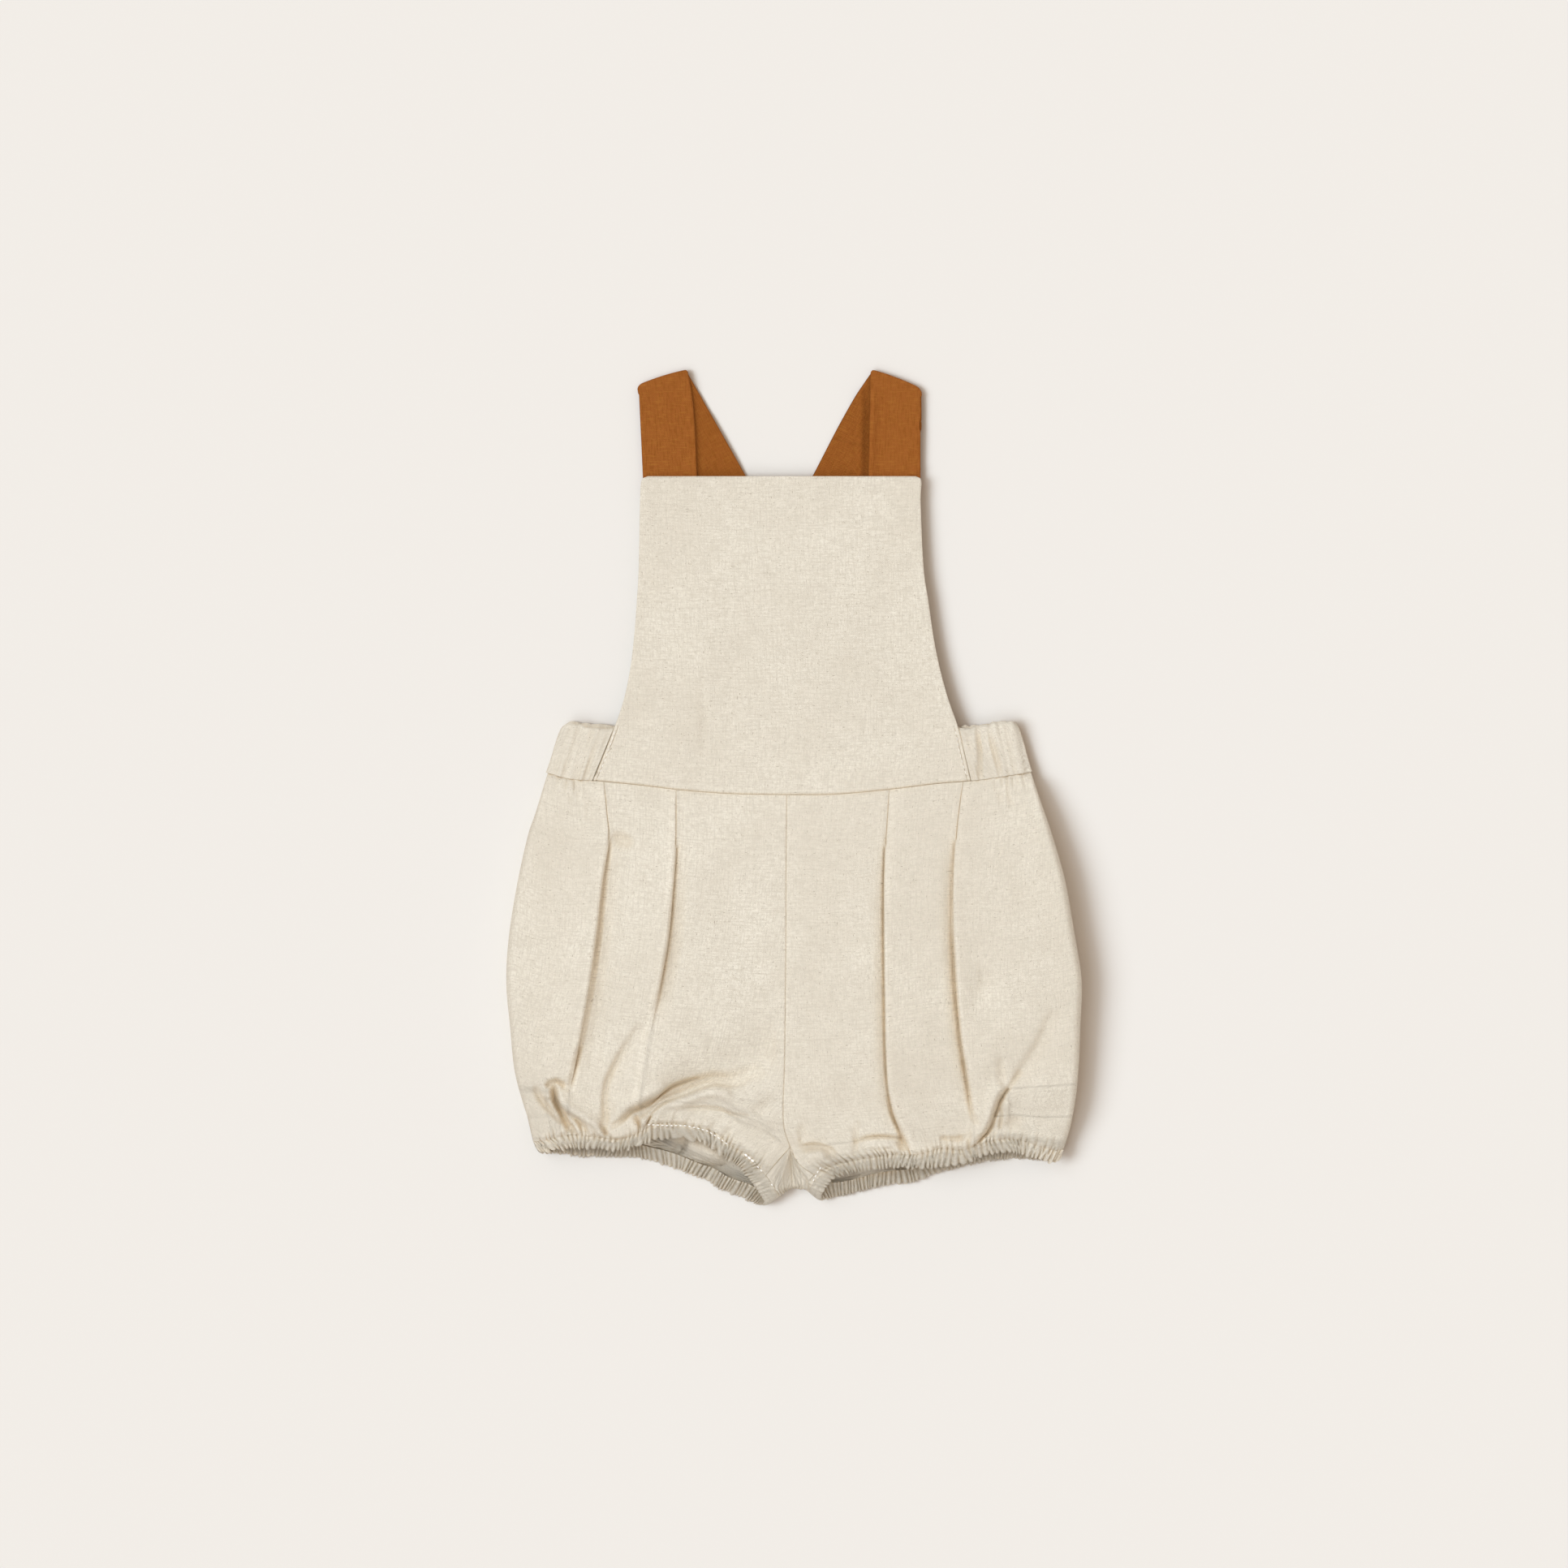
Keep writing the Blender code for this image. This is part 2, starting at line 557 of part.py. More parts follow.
def meet_waist(grids):
    """Sets the first row of both faces on the waist seam."""
    for grid in grids:
        grid[0, :, 1] = waist_seam_at(grid[0, :, 0]) - HALF


FRONT_SPLIT = (2, 2, 2, 3, 3, 3, 3, 4, 3, 4)  # rows in each interval of the front's table
FRONT_ROLL = np.radians([0, 20, 42, 66, 90])
FRONT_COLUMN_COUNTS = (4, 6, 10)  # to the outer pleat, to the inner pleat, to the centre seam


def front_panel(name, rows, turn, stations, creases, side, look):
    """Half of the front, with its two knife pleats raised on the outside only; its hem."""
    at = rows_between(FRONT_SPLIT)
    level = {key: smooth(at, range(len(values)), values) for key, values in rows.items()}
    end = offset_line(centre_line(rows, turn, at), -side * HALF)
    rails = np.stack(
        [
            points(level, "side_x", "side_y", "side_z"),
            points(level, "outer_x", "outer_y", "outer_z"),
            points(level, "inner_x", "inner_y", "inner_z"),
            end,
        ],
        axis=1,
    )
    outer = []
    inner = []
    for row, rail in enumerate(rails):
        plan = rail[:, :2]
        width = np.linalg.norm(plan[1] - plan[0])
        roll = level["roll"][row]
        pleat = PLEAT_RUN / width
        u = np.concatenate(
            [
                roll / width * (1 - np.cos(FRONT_ROLL)),
                np.linspace(roll / width, 1 - pleat, FRONT_COLUMN_COUNTS[0])[1:],
                np.linspace(1 + pleat, 2 - pleat, FRONT_COLUMN_COUNTS[1]),
                np.linspace(2 + pleat, 3, FRONT_COLUMN_COUNTS[2]),
            ]
        )
        line = smooth(u, range(4), rail)
        tilt = np.append(FRONT_ROLL, np.full(len(u) - len(FRONT_ROLL), np.pi / 2))
        edge = level["edge"][row] + HALF
        line[:, 2] = edge + (line[:, 2] - edge) * np.sin(tilt)
        outward = unit(np.append(plan[0] - plan[1], 0))
        normal = np.cos(tilt)[:, None] * outward + np.sin(tilt)[:, None] * np.array([0, 0, 1])
        inner.append(line - normal * CLOTH)
        in_pleat = np.where(u < 2, u % 1, 0) ** 2
        fade = np.interp(at[row], (4, 8, 10), (1, 0.6, 0.15))
        lifted = line.copy()
        lifted[:, 2] += PLEAT_STEP * fade * in_pleat * (u > roll / width)
        outer.append(lifted)
    outer = np.array(outer)
    inner = np.array(inner)
    rise = creased(outer, creases)
    rise[:, 0] = 0
    rise[0] = 0
    rise[-1] *= 0.5
    outer[..., 2] += rise
    inner[..., 2] += rise
    samples = np.linspace(0, INSEAM_STATION, 160)
    hems = hem_lines(stations, side, samples, level["edge"][-1] + HALF)
    faces = meet_hem((outer, inner), hems)
    meet_waist(faces)
    wall(name, *faces, look)
    return faces[1][-1]


# The back's rows by their place in the front's table: flat ones, ones that start to turn up at
# the crotch and ones that end at the crotch seams.
BACK_LEVELS = np.array([0, 1, 2, 3, 4, 5, 6, 6.9, 7.6, 8.1, 8.5])
BACK_ROLL_LEVELS = np.array([8.75, 8.9, 9.05])
BACK_ROLLS = ((0.4, 0.6, 0.8), (-50, 0, 50))  # where each leaves the floor and how far it climbs
FLOOR = 1e-6  # a point lower than this lies on the surface
ROW_STEP = 0.2  # least distance between two rows on the surface
FOLD_MARGIN = 10.0  # of the hem next to its fold, where the rows keep their own line
BACK_TURN_ROWS = np.array([0, 0.75, 1.5, 2.25, 3, 3.5, 4, 4.5, 5])  # of the turn table
BACK_TURN_LEVELS = np.linspace(9.2, 10, len(BACK_TURN_ROWS))
BACK_SIDE_ROLL = np.radians([0, 22, 45, 68, 90])
BACK_SIDE_REACH = 6.0  # how far in the back rounds down to the floor
# Columns before a row's end, in millimetres
BACK_TAIL = np.array([62, 54, 47, 41, 36, 31, 26.5, 22.5, 19, 16, 13.5, 11, 8.5, 6, 3, 0])
BACK_MIDDLE_COLUMNS = 7
CENTRE_BACK = table(
    "level x y",
    (0, -3.7, -4.8),
    (3, -4.1, -60.0),
    (5, -4.4, -112.0),
    (7, -3.0, -168.0),
    (8, -1.6, -200.0),
    (8.4, -1.0, -211.0),
)


def round_fold(shape, angles):
    """Points round the crotch fold and their outward directions. shape holds the fold's place,
    heading and radius, each one value or one at each angle."""
    heading = np.radians(shape["heading"]) + 0 * angles
    level = np.stack([np.cos(heading), np.sin(heading), 0 * heading], axis=1)
    up = np.array([0.0, 0.0, 1.0])
    out = np.cos(angles)[:, None] * level + np.sin(angles)[:, None] * up
    edge = np.stack([shape[key] + 0 * angles for key in ("fold_x", "fold_y", "radius")], axis=1)
    return edge + edge[:, 2:] * (out - level), out


def stretch_floor(lines, hem):
    """Stretches the rows on the floor along the garment, for the last to follow the hem, and
    keeps each a step above the next."""
    last = lines[-1][0]
    last = last[last[:, 2] < FLOOR]
    hem = hem[hem[:, 2] < FLOOR]
    hem = hem[np.abs(hem[:, 0] - last[-1, 0]) > FOLD_MARGIN]
    inward = np.sign(last[-1, 0] - last[0, 0])
    straight = np.interp(inward * hem[:, 0], inward * last[:, 0], last[:, 1])
    x = np.append(hem[:, 0], last[-1, 0])
    ratio = np.append(hem[:, 1] / straight, 1.0)
    order = np.argsort(inward * x)
    for line, _ in lines:
        low = line[:, 2] < FLOOR
        line[low, 1] *= np.interp(inward * line[low, 0], inward * x[order], ratio[order])
    for (line, _), (below, _) in zip(lines[-2::-1], lines[:0:-1]):
        low = line[:, 2] < FLOOR
        below = below[below[:, 2] < FLOOR]
        limit = np.interp(inward * line[low, 0], inward * below[:, 0], below[:, 1])
        line[low, 1] = np.maximum(line[low, 1], limit + ROW_STEP)


def back_row(side_point, floor_end, folded=None, top_end=None):
    """One row of the back as a dense line with outward directions: round the side, along the
    floor, and where it is folded, round the crotch fold and along the top."""
    across = unit(np.append((floor_end - side_point)[:2], 0))
    tilt = np.linspace(0, np.pi / 2, 12)
    drop = side_point + np.outer(BACK_SIDE_REACH * (1 - np.cos(tilt)), across)
    drop[:, 2] = side_point[2] * (1 - np.sin(tilt))
    drop_out = -np.outer(np.cos(tilt), across) - np.outer(np.sin(tilt), (0, 0, 1))
    along = np.linspace(0, 1, 80)[1:, None]
    start = drop[-1]
    floor = start + along * (np.append(floor_end[:2], 0) - start)
    parts = [drop, floor]
    outs = [drop_out, np.tile((0.0, 0.0, -1.0), (len(floor), 1))]
    if folded is not None:
        parts.append(folded[0][1:])
        outs.append(folded[1][1:])
    if top_end is not None:
        along = np.linspace(0, 1, 30)[1:, None]
        top = parts[-1][-1] + along * (top_end - parts[-1][-1])
        parts.append(top)
        outs.append(np.tile((0.0, 0.0, 1.0), (len(top), 1)))
    return np.concatenate(parts), np.concatenate(outs)


def back_columns(line, out):
    """A row's points at its columns: close at the side, then spread, then close at the end."""
    run = lengths(line)
    tail = run[-1] - BACK_TAIL
    side_end = lengths(line[:12])[-1]
    first = side_end * BACK_SIDE_ROLL / (np.pi / 2)
    middle = np.linspace(side_end, tail[0], BACK_MIDDLE_COLUMNS + 2)[1:-1]
    at = np.concatenate([first, middle, tail])
    grid = np.stack([np.interp(at, run, line[:, k]) for k in range(3)], axis=-1)
    facing = np.stack([np.interp(at, run, out[:, k]) for k in range(3)], axis=-1)
    return grid, unit(facing)


def back_panel(name, rows, turn, stations, side, look):
    """Half of the back: flat on the floor, turned up at the crotch to the inside-leg seam;
    its hem."""
    table_rows = range(len(rows["edge"]))

    def side_at(level):
        point = smooth(level, table_rows, points(rows, "side_x", "side_y", "edge"))
        return point - (0, 0, HALF)

    centre_fold = dict(CENTRE_FOLD, fold_x=CENTRE_FOLD["fold_x"] + side * HALF)
    lines = []
    for level in BACK_LEVELS:
        x, y = smooth(level, CENTRE_BACK["level"], points(CENTRE_BACK, "x", "y"))
        lines.append(back_row(side_at(level), np.array([x + side * HALF, y, 0])))
    for level, away, reach in zip(BACK_ROLL_LEVELS, *BACK_ROLLS):
        share = np.linspace(away, 0, 12)
        shape = {
            key: centre + share * (turn[key][0] - centre) for key, centre in centre_fold.items()
        }
        folded = round_fold(shape, np.radians(np.linspace(-90, reach, 12)))
        lines.append(back_row(side_at(level), folded[0][0], folded))
    bend = {
        key: smooth(BACK_TURN_ROWS, range(len(values)), values) for key, values in turn.items()
    }
    past_crotch = (BACK_TURN_ROWS - CROTCH_TURN) / (len(turn["radius"]) - 1 - CROTCH_TURN)
    ends = points(bend, "end_x", "end_y", "end_z")
    leg = inseam(turn, np.clip(past_crotch, 0, 1))
    ends = offset_line(np.where((past_crotch > 0)[:, None], leg, ends), side * HALF)
    for i, level in enumerate(BACK_TURN_LEVELS):
        shape = {key: values[i] for key, values in bend.items()}
        folded = round_fold(shape, np.radians(np.linspace(-90, 90, 24)))
        lines.append(back_row(side_at(level), folded[0][0], folded, ends[i]))
    samples = np.linspace(len(stations["z"]), INSEAM_STATION, 240)
    hems = hem_lines(stations, side, samples, rows["edge"][-1] - HALF)
    stretch_floor(lines, hems[0])
    outer, facing = (np.array(part) for part in zip(*(back_columns(*line) for line in lines)))
    faces = meet_hem((outer, outer - facing * CLOTH), hems)
    faces[0][..., 2] = np.maximum(faces[0][..., 2], 0)
    meet_waist(faces)
    wall(name, *faces, look)
    return faces[1][-1]


# ---------------------------------------------------------------- bib and straps


def bib(look):
    """The double front, from its top edge to the waist seam."""
    at = rows_between((1, 2, 2, 1, 1, 1, 1, 1, 1, 1))
    level = {key: smooth(at, range(len(values)), values) for key, values in BIB_ROWS.items()}
    across = np.linspace(0, 1, BIB_COLUMNS)
    left = points(level, "left_x", "left_y", "z")
    right = points(level, "right_x", "right_y", "z")
    outer = left[:, None] + across[:, None] * (right - left)[:, None]
    outer[..., 2] -= BIB_EDGE_DROP * (2 * across - 1) ** 4
    to_seam = waist_seam_at(outer[-1, :, 0]) + HALF - outer[-1, :, 1]
    share = np.clip(np.linspace(-2, 1, len(at)), 0, 1)
    outer[..., 1] += share[:, None] * to_seam
    wall("front_bib", outer, outer - np.array([0, 0, BIB]), look)


def strap(name, edges, lift, look):
    """A strap folded over at the shoulder: down the front to the bib, and behind it to the
    back of the waist."""
    across = np.linspace(0, 1, 5)[:, None]
    front, fold, back = (
        points(edges, f"{part}_x", f"{part}_y") for part in ("front", "fold", "back")
    )
    front, fold, back = (pair[0] + across * (pair[1] - pair[0]) for pair in (front, fold, back))
    top, _, _, lies_on_floor = waistband_line()
    band = top[lies_on_floor]
    back[:, 1] = np.interp(back[:, 0], band[:, 0], band[:, 1]) + GAP
    line = unit(fold[-1] - fold[0])
    out = np.array([-line[1], line[0]])
    turn = (STRAP_FRONT_Z - STRAP_BACK_Z) / 2
    centre = fold - out * (turn + STRAP / 2)
    rows = []
    facing = []
    for part in np.linspace(0, 1, 6)[:-1]:
        plan = front + part * (centre - front)
        rows.append(np.column_stack([plan, np.full(len(plan), STRAP_FRONT_Z)]))
        facing.append((0, 0, 1))
    for angle in np.radians([90, 54, 18, -18, -54, -90]):
        plan = centre + turn * math.cos(angle) * out
        height = STRAP_BACK_Z + turn + turn * math.sin(angle)
        rows.append(np.column_stack([plan, np.full(len(plan), height)]))
        facing.append((*(math.cos(angle) * out), math.sin(angle)))
    for part in np.linspace(0, 1, 17)[1:]:
        plan = centre + part * (back - centre)
        away = np.linalg.norm(plan - STRAP_CROSSING, axis=1)
        raised = lift * STRAP_LIFT * np.interp(away, STRAP_LIFT_REACH, (1, 0))
        rows.append(np.column_stack([plan, STRAP_BACK_Z + raised]))
        facing.append((0, 0, -1))
    middle = np.array(rows)
    half = np.array(facing)[:, None] * STRAP / 2
    wall(name, middle + half, middle - half, look)


# ---------------------------------------------------------------- the part


def main():
    for old in list(bpy.data.objects):
        bpy.data.objects.remove(old)
    linen = material("linen", LINEN, 0.9)
    rust = material("rust_cotton", RUST, 0.85)
    bib(linen)
    waistband(linen)
    for side, end, rows, turn, stations, creases in (
        (-1, "left", LEFT_FRONT, LEFT_TURN, LEFT_CUFF, LEFT_CREASES),
        (1, "right", RIGHT_FRONT, RIGHT_TURN, RIGHT_CUFF, RIGHT_CREASES),
    ):
        front_hem = front_panel(f"front_{end}", rows, turn, stations, creases, side, linen)
        back_hem = back_panel(f"back_{end}", rows, turn, stations, side, linen)
        leg_edge = np.concatenate([front_hem, back_hem[::-1]])
        cuff(f"leg_cuff_{end}", stations, leg_edge, side, linen)
    strap("strap_left", LEFT_STRAP, 0, rust)
    strap("strap_right", RIGHT_STRAP, 1, rust)


main()
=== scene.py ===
"""Looks of a baby romper lying flat on its back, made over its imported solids.

Left and right below are the viewer's. The tables are in millimetres from a point near the
middle of the garment; laid() turns them into metres from the origin.
"""

import json
import math

import bmesh
import bpy
import numpy as np
from mathutils import Matrix, Vector


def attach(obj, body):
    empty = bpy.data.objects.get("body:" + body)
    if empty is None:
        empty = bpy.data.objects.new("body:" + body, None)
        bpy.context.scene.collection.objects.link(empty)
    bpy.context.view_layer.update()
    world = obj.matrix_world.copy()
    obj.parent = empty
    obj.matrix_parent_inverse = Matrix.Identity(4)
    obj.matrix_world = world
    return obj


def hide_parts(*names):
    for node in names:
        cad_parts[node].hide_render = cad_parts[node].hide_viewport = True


bl_info = {
    "name": "Baby romper",
    "version": (1, 0, 0),
    "blender": (4, 5, 0),
    "location": "View3D > Sidebar > Romper",
    "description": "Linen bib and pleated bloomers with gathered casings and crossed cotton straps",
    "category": "Add Mesh",
}

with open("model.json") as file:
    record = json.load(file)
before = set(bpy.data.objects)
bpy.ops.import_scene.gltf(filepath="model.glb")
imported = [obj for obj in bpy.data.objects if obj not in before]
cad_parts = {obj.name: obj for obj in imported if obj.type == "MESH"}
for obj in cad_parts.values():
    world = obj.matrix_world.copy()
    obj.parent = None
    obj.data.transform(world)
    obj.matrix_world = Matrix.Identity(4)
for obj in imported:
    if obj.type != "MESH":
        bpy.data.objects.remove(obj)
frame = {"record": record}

MM = 0.001
CENTRE = np.array([0.23, -0.77, 0.0])  # the middle of the outline, in the tables' millimetres
FINISHES = {row["slot"]: tuple(row["base_color"][:3]) for row in frame["record"]["materials"]}

CASING = 2.6  # thickness of the elastic casings
GAP = 0.08  # between pieces at a seam
HALF = GAP / 2


def table(names, *rows):
    """The rows as one array for each named column."""
    return dict(zip(names.split(), np.array(rows, float).T))


def points(grid, *names):
    """Named columns of a table side by side, as points."""
    return np.stack([grid[name] for name in names], axis=-1)


def edge_line(stations, edge):
    """One edge of a casing or of the bib, a point a row."""
    return points(stations, f"{edge}_x", f"{edge}_y", "z")


def middle_line(stations, *edges):
    """The line half way between a casing's two edges."""
    return sum(edge_line(stations, edge) for edge in edges) / 2


def smooth(at, knots, values, closed=False):
    """A cubic through the values, with its slope at each knot taken from the neighbours."""
    knots = np.asarray(knots, float)
    values = np.asarray(values, float)
    if closed:
        span = knots[-1] - knots[0]
        knots = np.concatenate([knots[-3:-1] - span, knots, knots[1:3] + span])
        values = np.concatenate([values[-3:-1], values, values[1:3]])
    slopes = np.gradient(values, knots, axis=0)
    at = np.asarray(at, float)
    low = np.clip(np.searchsorted(knots, at, side="right") - 1, 0, len(knots) - 2)
    step = knots[low + 1] - knots[low]
    part = (at - knots[low]) / step
    shape = part.shape + (1,) * (values.ndim - 1)
    part = part.reshape(shape)
    step = step.reshape(shape)
    return (
        (2 * part**3 - 3 * part**2 + 1) * values[low]
        + (part**3 - 2 * part**2 + part) * step * slopes[low]
        + (3 * part**2 - 2 * part**3) * values[low + 1]
        + (part**3 - part**2) * step * slopes[low + 1]
    )


def between(rows, at):
    """Every column of a table at row positions between its rows."""
    return {key: smooth(at, range(len(values)), values) for key, values in rows.items()}


def lengths(line):
    """Distance run along a line at each of its points."""
    steps = np.linalg.norm(np.diff(line, axis=0), axis=1)
    return np.concatenate([[0], np.cumsum(steps)])


def unit(vectors):
    """The vectors at a length of 1."""
    return vectors / np.linalg.norm(vectors, axis=-1, keepdims=True)


# ---------------------------------------------------------------- outlines shared by the pieces

# The seam under the bib and the waistband, left to right.
WAIST_SEAM = table(
    "x y",
    (-132.3, 7),
    (-120.9, 3.8),
    (-108.1, 2.8),
    (-79.4, 0),
    (-63.2, -2),
    (-43.6, -3.7),
    (-3.5, -4.8),
    (21.4, -4.6),
    (51.4, -2),
    (79.4, 1.4),
    (95, 2.6),
    (112.5, 5),
    (127.6, 7.4),
)

# Half of the bloomers' front, one row a level from the waist to the hem: where the side, the
# two pleats and the centre line lie, and for both legs how high the cloth stands at each. From
# the crotch on, the centre line is the inside-leg seam. roll is how far in the side rounds over,
# and edge how high the side seam lies.
FRONT_NAMES = "side_x side_y outer_x outer_y inner_x inner_y end_x end_y"
FRONT_HEIGHTS = table(
    "side_z outer_z inner_z end_z roll edge",
    (8, 8, 8, 8, 5, 4),
    (12, 12.5, 12.5, 11, 8, 4.6),
    (14, 15, 15, 12.5, 11, 5.2),
    (15.5, 17, 17, 14, 13, 5.5),
    (16, 18, 18.5, 15.5, 14, 5.5),
    (16, 18.5, 19, 16, 14, 5.5),
    (15.5, 18, 18.5, 15.5, 14, 5.5),
    (14.5, 16.5, 17, 13, 13, 5.5),
    (13.5, 15, 15, 10.5, 11, 5.5),
    (12.5, 13, 13.5, 8, 9, 5.5),
    (11, 11, 11, 10.6, 7, 5.5),
)
LEFT_FRONT = FRONT_HEIGHTS | table(
    FRONT_NAMES,
    (-132.3, 7, -102, 2.3, -63.2, -2, -3.7, -4.8),
    (-138.6, -13.7, -100.3, -15, -63.2, -18, -3.8, -20),
    (-143, -27, -99.4, -28, -63.4, -31, -4, -36),
    (-148.5, -52, -102.9, -51, -65, -54, -4.1, -60),
    (-153, -80, -106, -79, -67.6, -82, -4.2, -90),
    (-154.5, -105, -110, -108, -72.5, -110, -4.5, -122),
    (-152.4, -130, -114.8, -134, -77.8, -138, -4.9, -150),
    (-150.2, -152, -118.6, -155, -81, -158, -5.6, -172),
    (-146.2, -168, -121, -169, -82.6, -170.5, -5, -184),
    (-143, -178, -120.6, -177.5, -83, -178, -1.8, -194.2),
    (-138.9, -190.6, -119.6, -187.4, -83.3, -186, -15.1, -208.8),
)
RIGHT_FRONT = FRONT_HEIGHTS | table(
    FRONT_NAMES,
    (127.6, 7.4, 91.1, 2.3, 51.4, -2, -3.7, -4.8),
    (133.5, -10, 88.7, -15, 50.4, -18, -3.8, -20),
    (138.6, -25, 87.4, -28, 49.6, -31, -4, -36),
    (145.8, -50, 86.2, -51, 48.9, -54, -4.1, -60),
    (150.6, -77, 86.2, -79, 49, -82, -4.2, -90),
    (154.8, -104, 87.6, -108, 49.3, -110, -4.5, -122),
    (154.2, -128, 90, -134, 49.7, -138, -4.9, -150),
    (153.3, -150, 93.4, -155, 51, -160, -5.6, -172),
    (151.7, -167, 95.4, -170, 53.6, -174, -5, -184),
    (149, -181, 96.5, -182, 58, -186, -1.8, -194.2),
    (143.9, -194, 96.8, -193.4, 62.8, -197.6, 11.2, -208.6),
)
CROTCH_ROW = 9  # the row of both tables whose centre is the crotch point

# Each leg's elastic casing, one row a station round the opening: the gathered edge that meets
# the leg, the free edge, and the height of the casing's middle. It starts at the side, runs over
# the front to the inside-leg fold and comes back along the floor.
CUFF_COLUMNS = "leg_x leg_y free_x free_y z"
LEFT_CUFF = table(
    CUFF_COLUMNS,
    (-138.9, -190.8, -136, -196.6, 5.5),
    (-133.4, -190, -129.5, -195.6, 9.2),
    (-120.8, -187.3, -119.9, -194.6, 9.7),
    (-107.3, -188.1, -106.8, -194.4, 9.7),
    (-93.3, -189.2, -92.9, -195.2, 9.7),
    (-83.3, -186, -82, -192.9, 9.7),
    (-75, -181.6, -74.6, -189.6, 9.7),
    (-58.4, -181.8, -56.2, -189.6, 9.7),
    (-43.2, -185.3, -45.8, -192.6, 9.7),
    (-31.4, -194.2, -35.8, -199.8, 9.7),
    (-24.9, -197.9, -30.5, -203.4, 9.7),
    (-15.1, -209, -22.2, -212.8, 9.4),
    (-10.6, -215, -17.9, -219.6, 8),
    (-7.4, -218.9, -15.2, -224.9, 4.6),
    (-12.6, -218.6, -19, -225, 1.5),
    (-24.9, -213.8, -28.8, -221, 1.3),
    (-34.4, -210.6, -38.8, -217, 1.3),
    (-43.2, -205.6, -49.4, -211, 1.3),
    (-52, -202.6, -57, -208.4, 1.3),
    (-62.8, -198.2, -64.5, -205.6, 1.3),
    (-78.9, -193.8, -76.3, -201.6, 1.3),
    (-88.5, -191.8, -87.2, -199.4, 1.3),
    (-102.5, -191, -102.5, -199.2, 1.3),
    (-116.4, -191, -116.4, -199, 1.3),
    (-127.3, -190.8, -126.8, -197.4, 1.5),
)
RIGHT_CUFF = table(
    CUFF_COLUMNS,
    (144.2, -194.6, 141.7, -200.4, 5.5),
    (140, -195.2, 137, -201.6, 8.4),
    (133.4, -193.6, 130.5, -199.8, 9.7),
    (117.5, -189.4, 117, -196.6, 9.7),
    (104.6, -190.8, 104.9, -197.4, 9.7),
    (89.4, -195, 90.8, -202.4, 9.7),
    (79.8, -194.2, 80.8, -204, 9.7),
    (67.1, -197.6, 68, -204.8, 9.7),
    (51.9, -197.6, 52.5, -204.6, 9.7),
    (34.9, -200.3, 36, -206.8, 9.7),
    (18.3, -204.4, 22.7, -210, 9.7),
    (11.2, -208.8, 18.7, -213.6, 9.4),
    (7.6, -213, 15.6, -218.4, 8),
    (7.2, -216, 14.8, -222.4, 4.6),
    (15.6, -214, 19.4, -221.6, 1.5),
    (27.5, -212.6, 29.5, -219.6, 1.3),
    (36, -210.6, 38.4, -217.2, 1.3),
    (45, -208.2, 46.6, -215, 1.3),
    (54, -206.8, 55.2, -213.8, 1.3),
    (63.4, -205.6, 65, -212.6, 1.3),
    (73.8, -200.8, 76.4, -208, 1.3),
    (88.4, -197.4, 89.8, -204.8, 1.3),
    (104, -195, 104.6, -201.6, 1.3),
    (120, -193.6, 119.6, -200.4, 1.3),
    (134.6, -194.4, 132.6, -201, 1.5),
)
INSEAM_STATION = 11  # the station of both tables where the inside-leg seam meets the casing

# The back from the crotch fold on, where it turns up onto the top: where each row folds over,
# the radius it folds round, and where it ends at the top.
TURN_COLUMNS = "fold_x fold_y heading radius end_x end_y end_z"
LEFT_TURN = table(
    TURN_COLUMNS,
    (-3, -218.1, -84, 2.4, -0.9, -212.5, 4.4),
    (-4, -218.5, -74, 2.9, -1.1, -206, 5.2),
    (-4.9, -218.8, -62, 3.5, -1.5, -199.5, 6.6),
    (-5.7, -219, -52, 4.2, -1.8, -194.2, 8),
    (-6.6, -219.1, -42, 4.8, -9.6, -202.6, 9.8),
    (-7.4, -218.7, -32, 4.9, -15.1, -208.8, 10.6),
)
RIGHT_TURN = table(
    TURN_COLUMNS,
    (1, -216.9, -96, 2.4, -0.9, -212.5, 4.4),
    (2.4, -217, -106, 2.9, -1.1, -206, 5.2),
    (3.8, -217, -118, 3.5, -1.5, -199.5, 6.6),
    (5.1, -216.8, -128, 4.2, -1.8, -194.2, 8),
    (6.2, -216.4, -138, 4.8, 2.6, -202.6, 9.8),
    (7.2, -216, -145, 4.9, 11.2, -208.6, 10.6),
)
CENTRE_FOLD = {"fold_x": -1.0, "fold_y": -216.9, "heading": -90, "radius": 2.0}
CROTCH_TURN = 3  # the row of both tables that ends at the crotch point

# Casing at the waist, one row a station: from the bib's left edge round the left side, along the
# floor and round the right side to the bib's right edge.
WAISTBAND = table(
    "top_x top_y low_x low_y z",
    (-96.55, 31.3, -108.25, 2.9, 6.7),
    (-106.8, 31.3, -114.6, 3.2, 6.7),
    (-114.6, 33, -120.9, 4, 6.4),
    (-120.4, 34.5, -127.6, 5.8, 5.7),
    (-123.1, 34.9, -131, 7, 4),
    (-120.4, 34.8, -127.2, 6, 1.7),
    (-110, 34, -114, 3.4, 1.3),
    (-60, 30.5, -60, -2.3, 1.3),
    (0, 28.5, 0, -4.8, 1.3),
    (60, 30.5, 60, -1, 1.3),
    (107, 34, 110, 5, 1.3),
    (117.2, 35.2, 123, 7, 1.7),
    (119.5, 35.5, 126.3, 7.4, 4),
    (117, 35.3, 123.4, 6.8, 5.7),
    (110.5, 34.8, 116.6, 5.8, 6.4),
    (100.5, 32.4, 105.4, 4, 6.7),
    (88.65, 31, 95.45, 2.7, 6.7),
)
WAIST_LEFT_SIDE = 4  # its stations at the two sides
WAIST_RIGHT_SIDE = 12

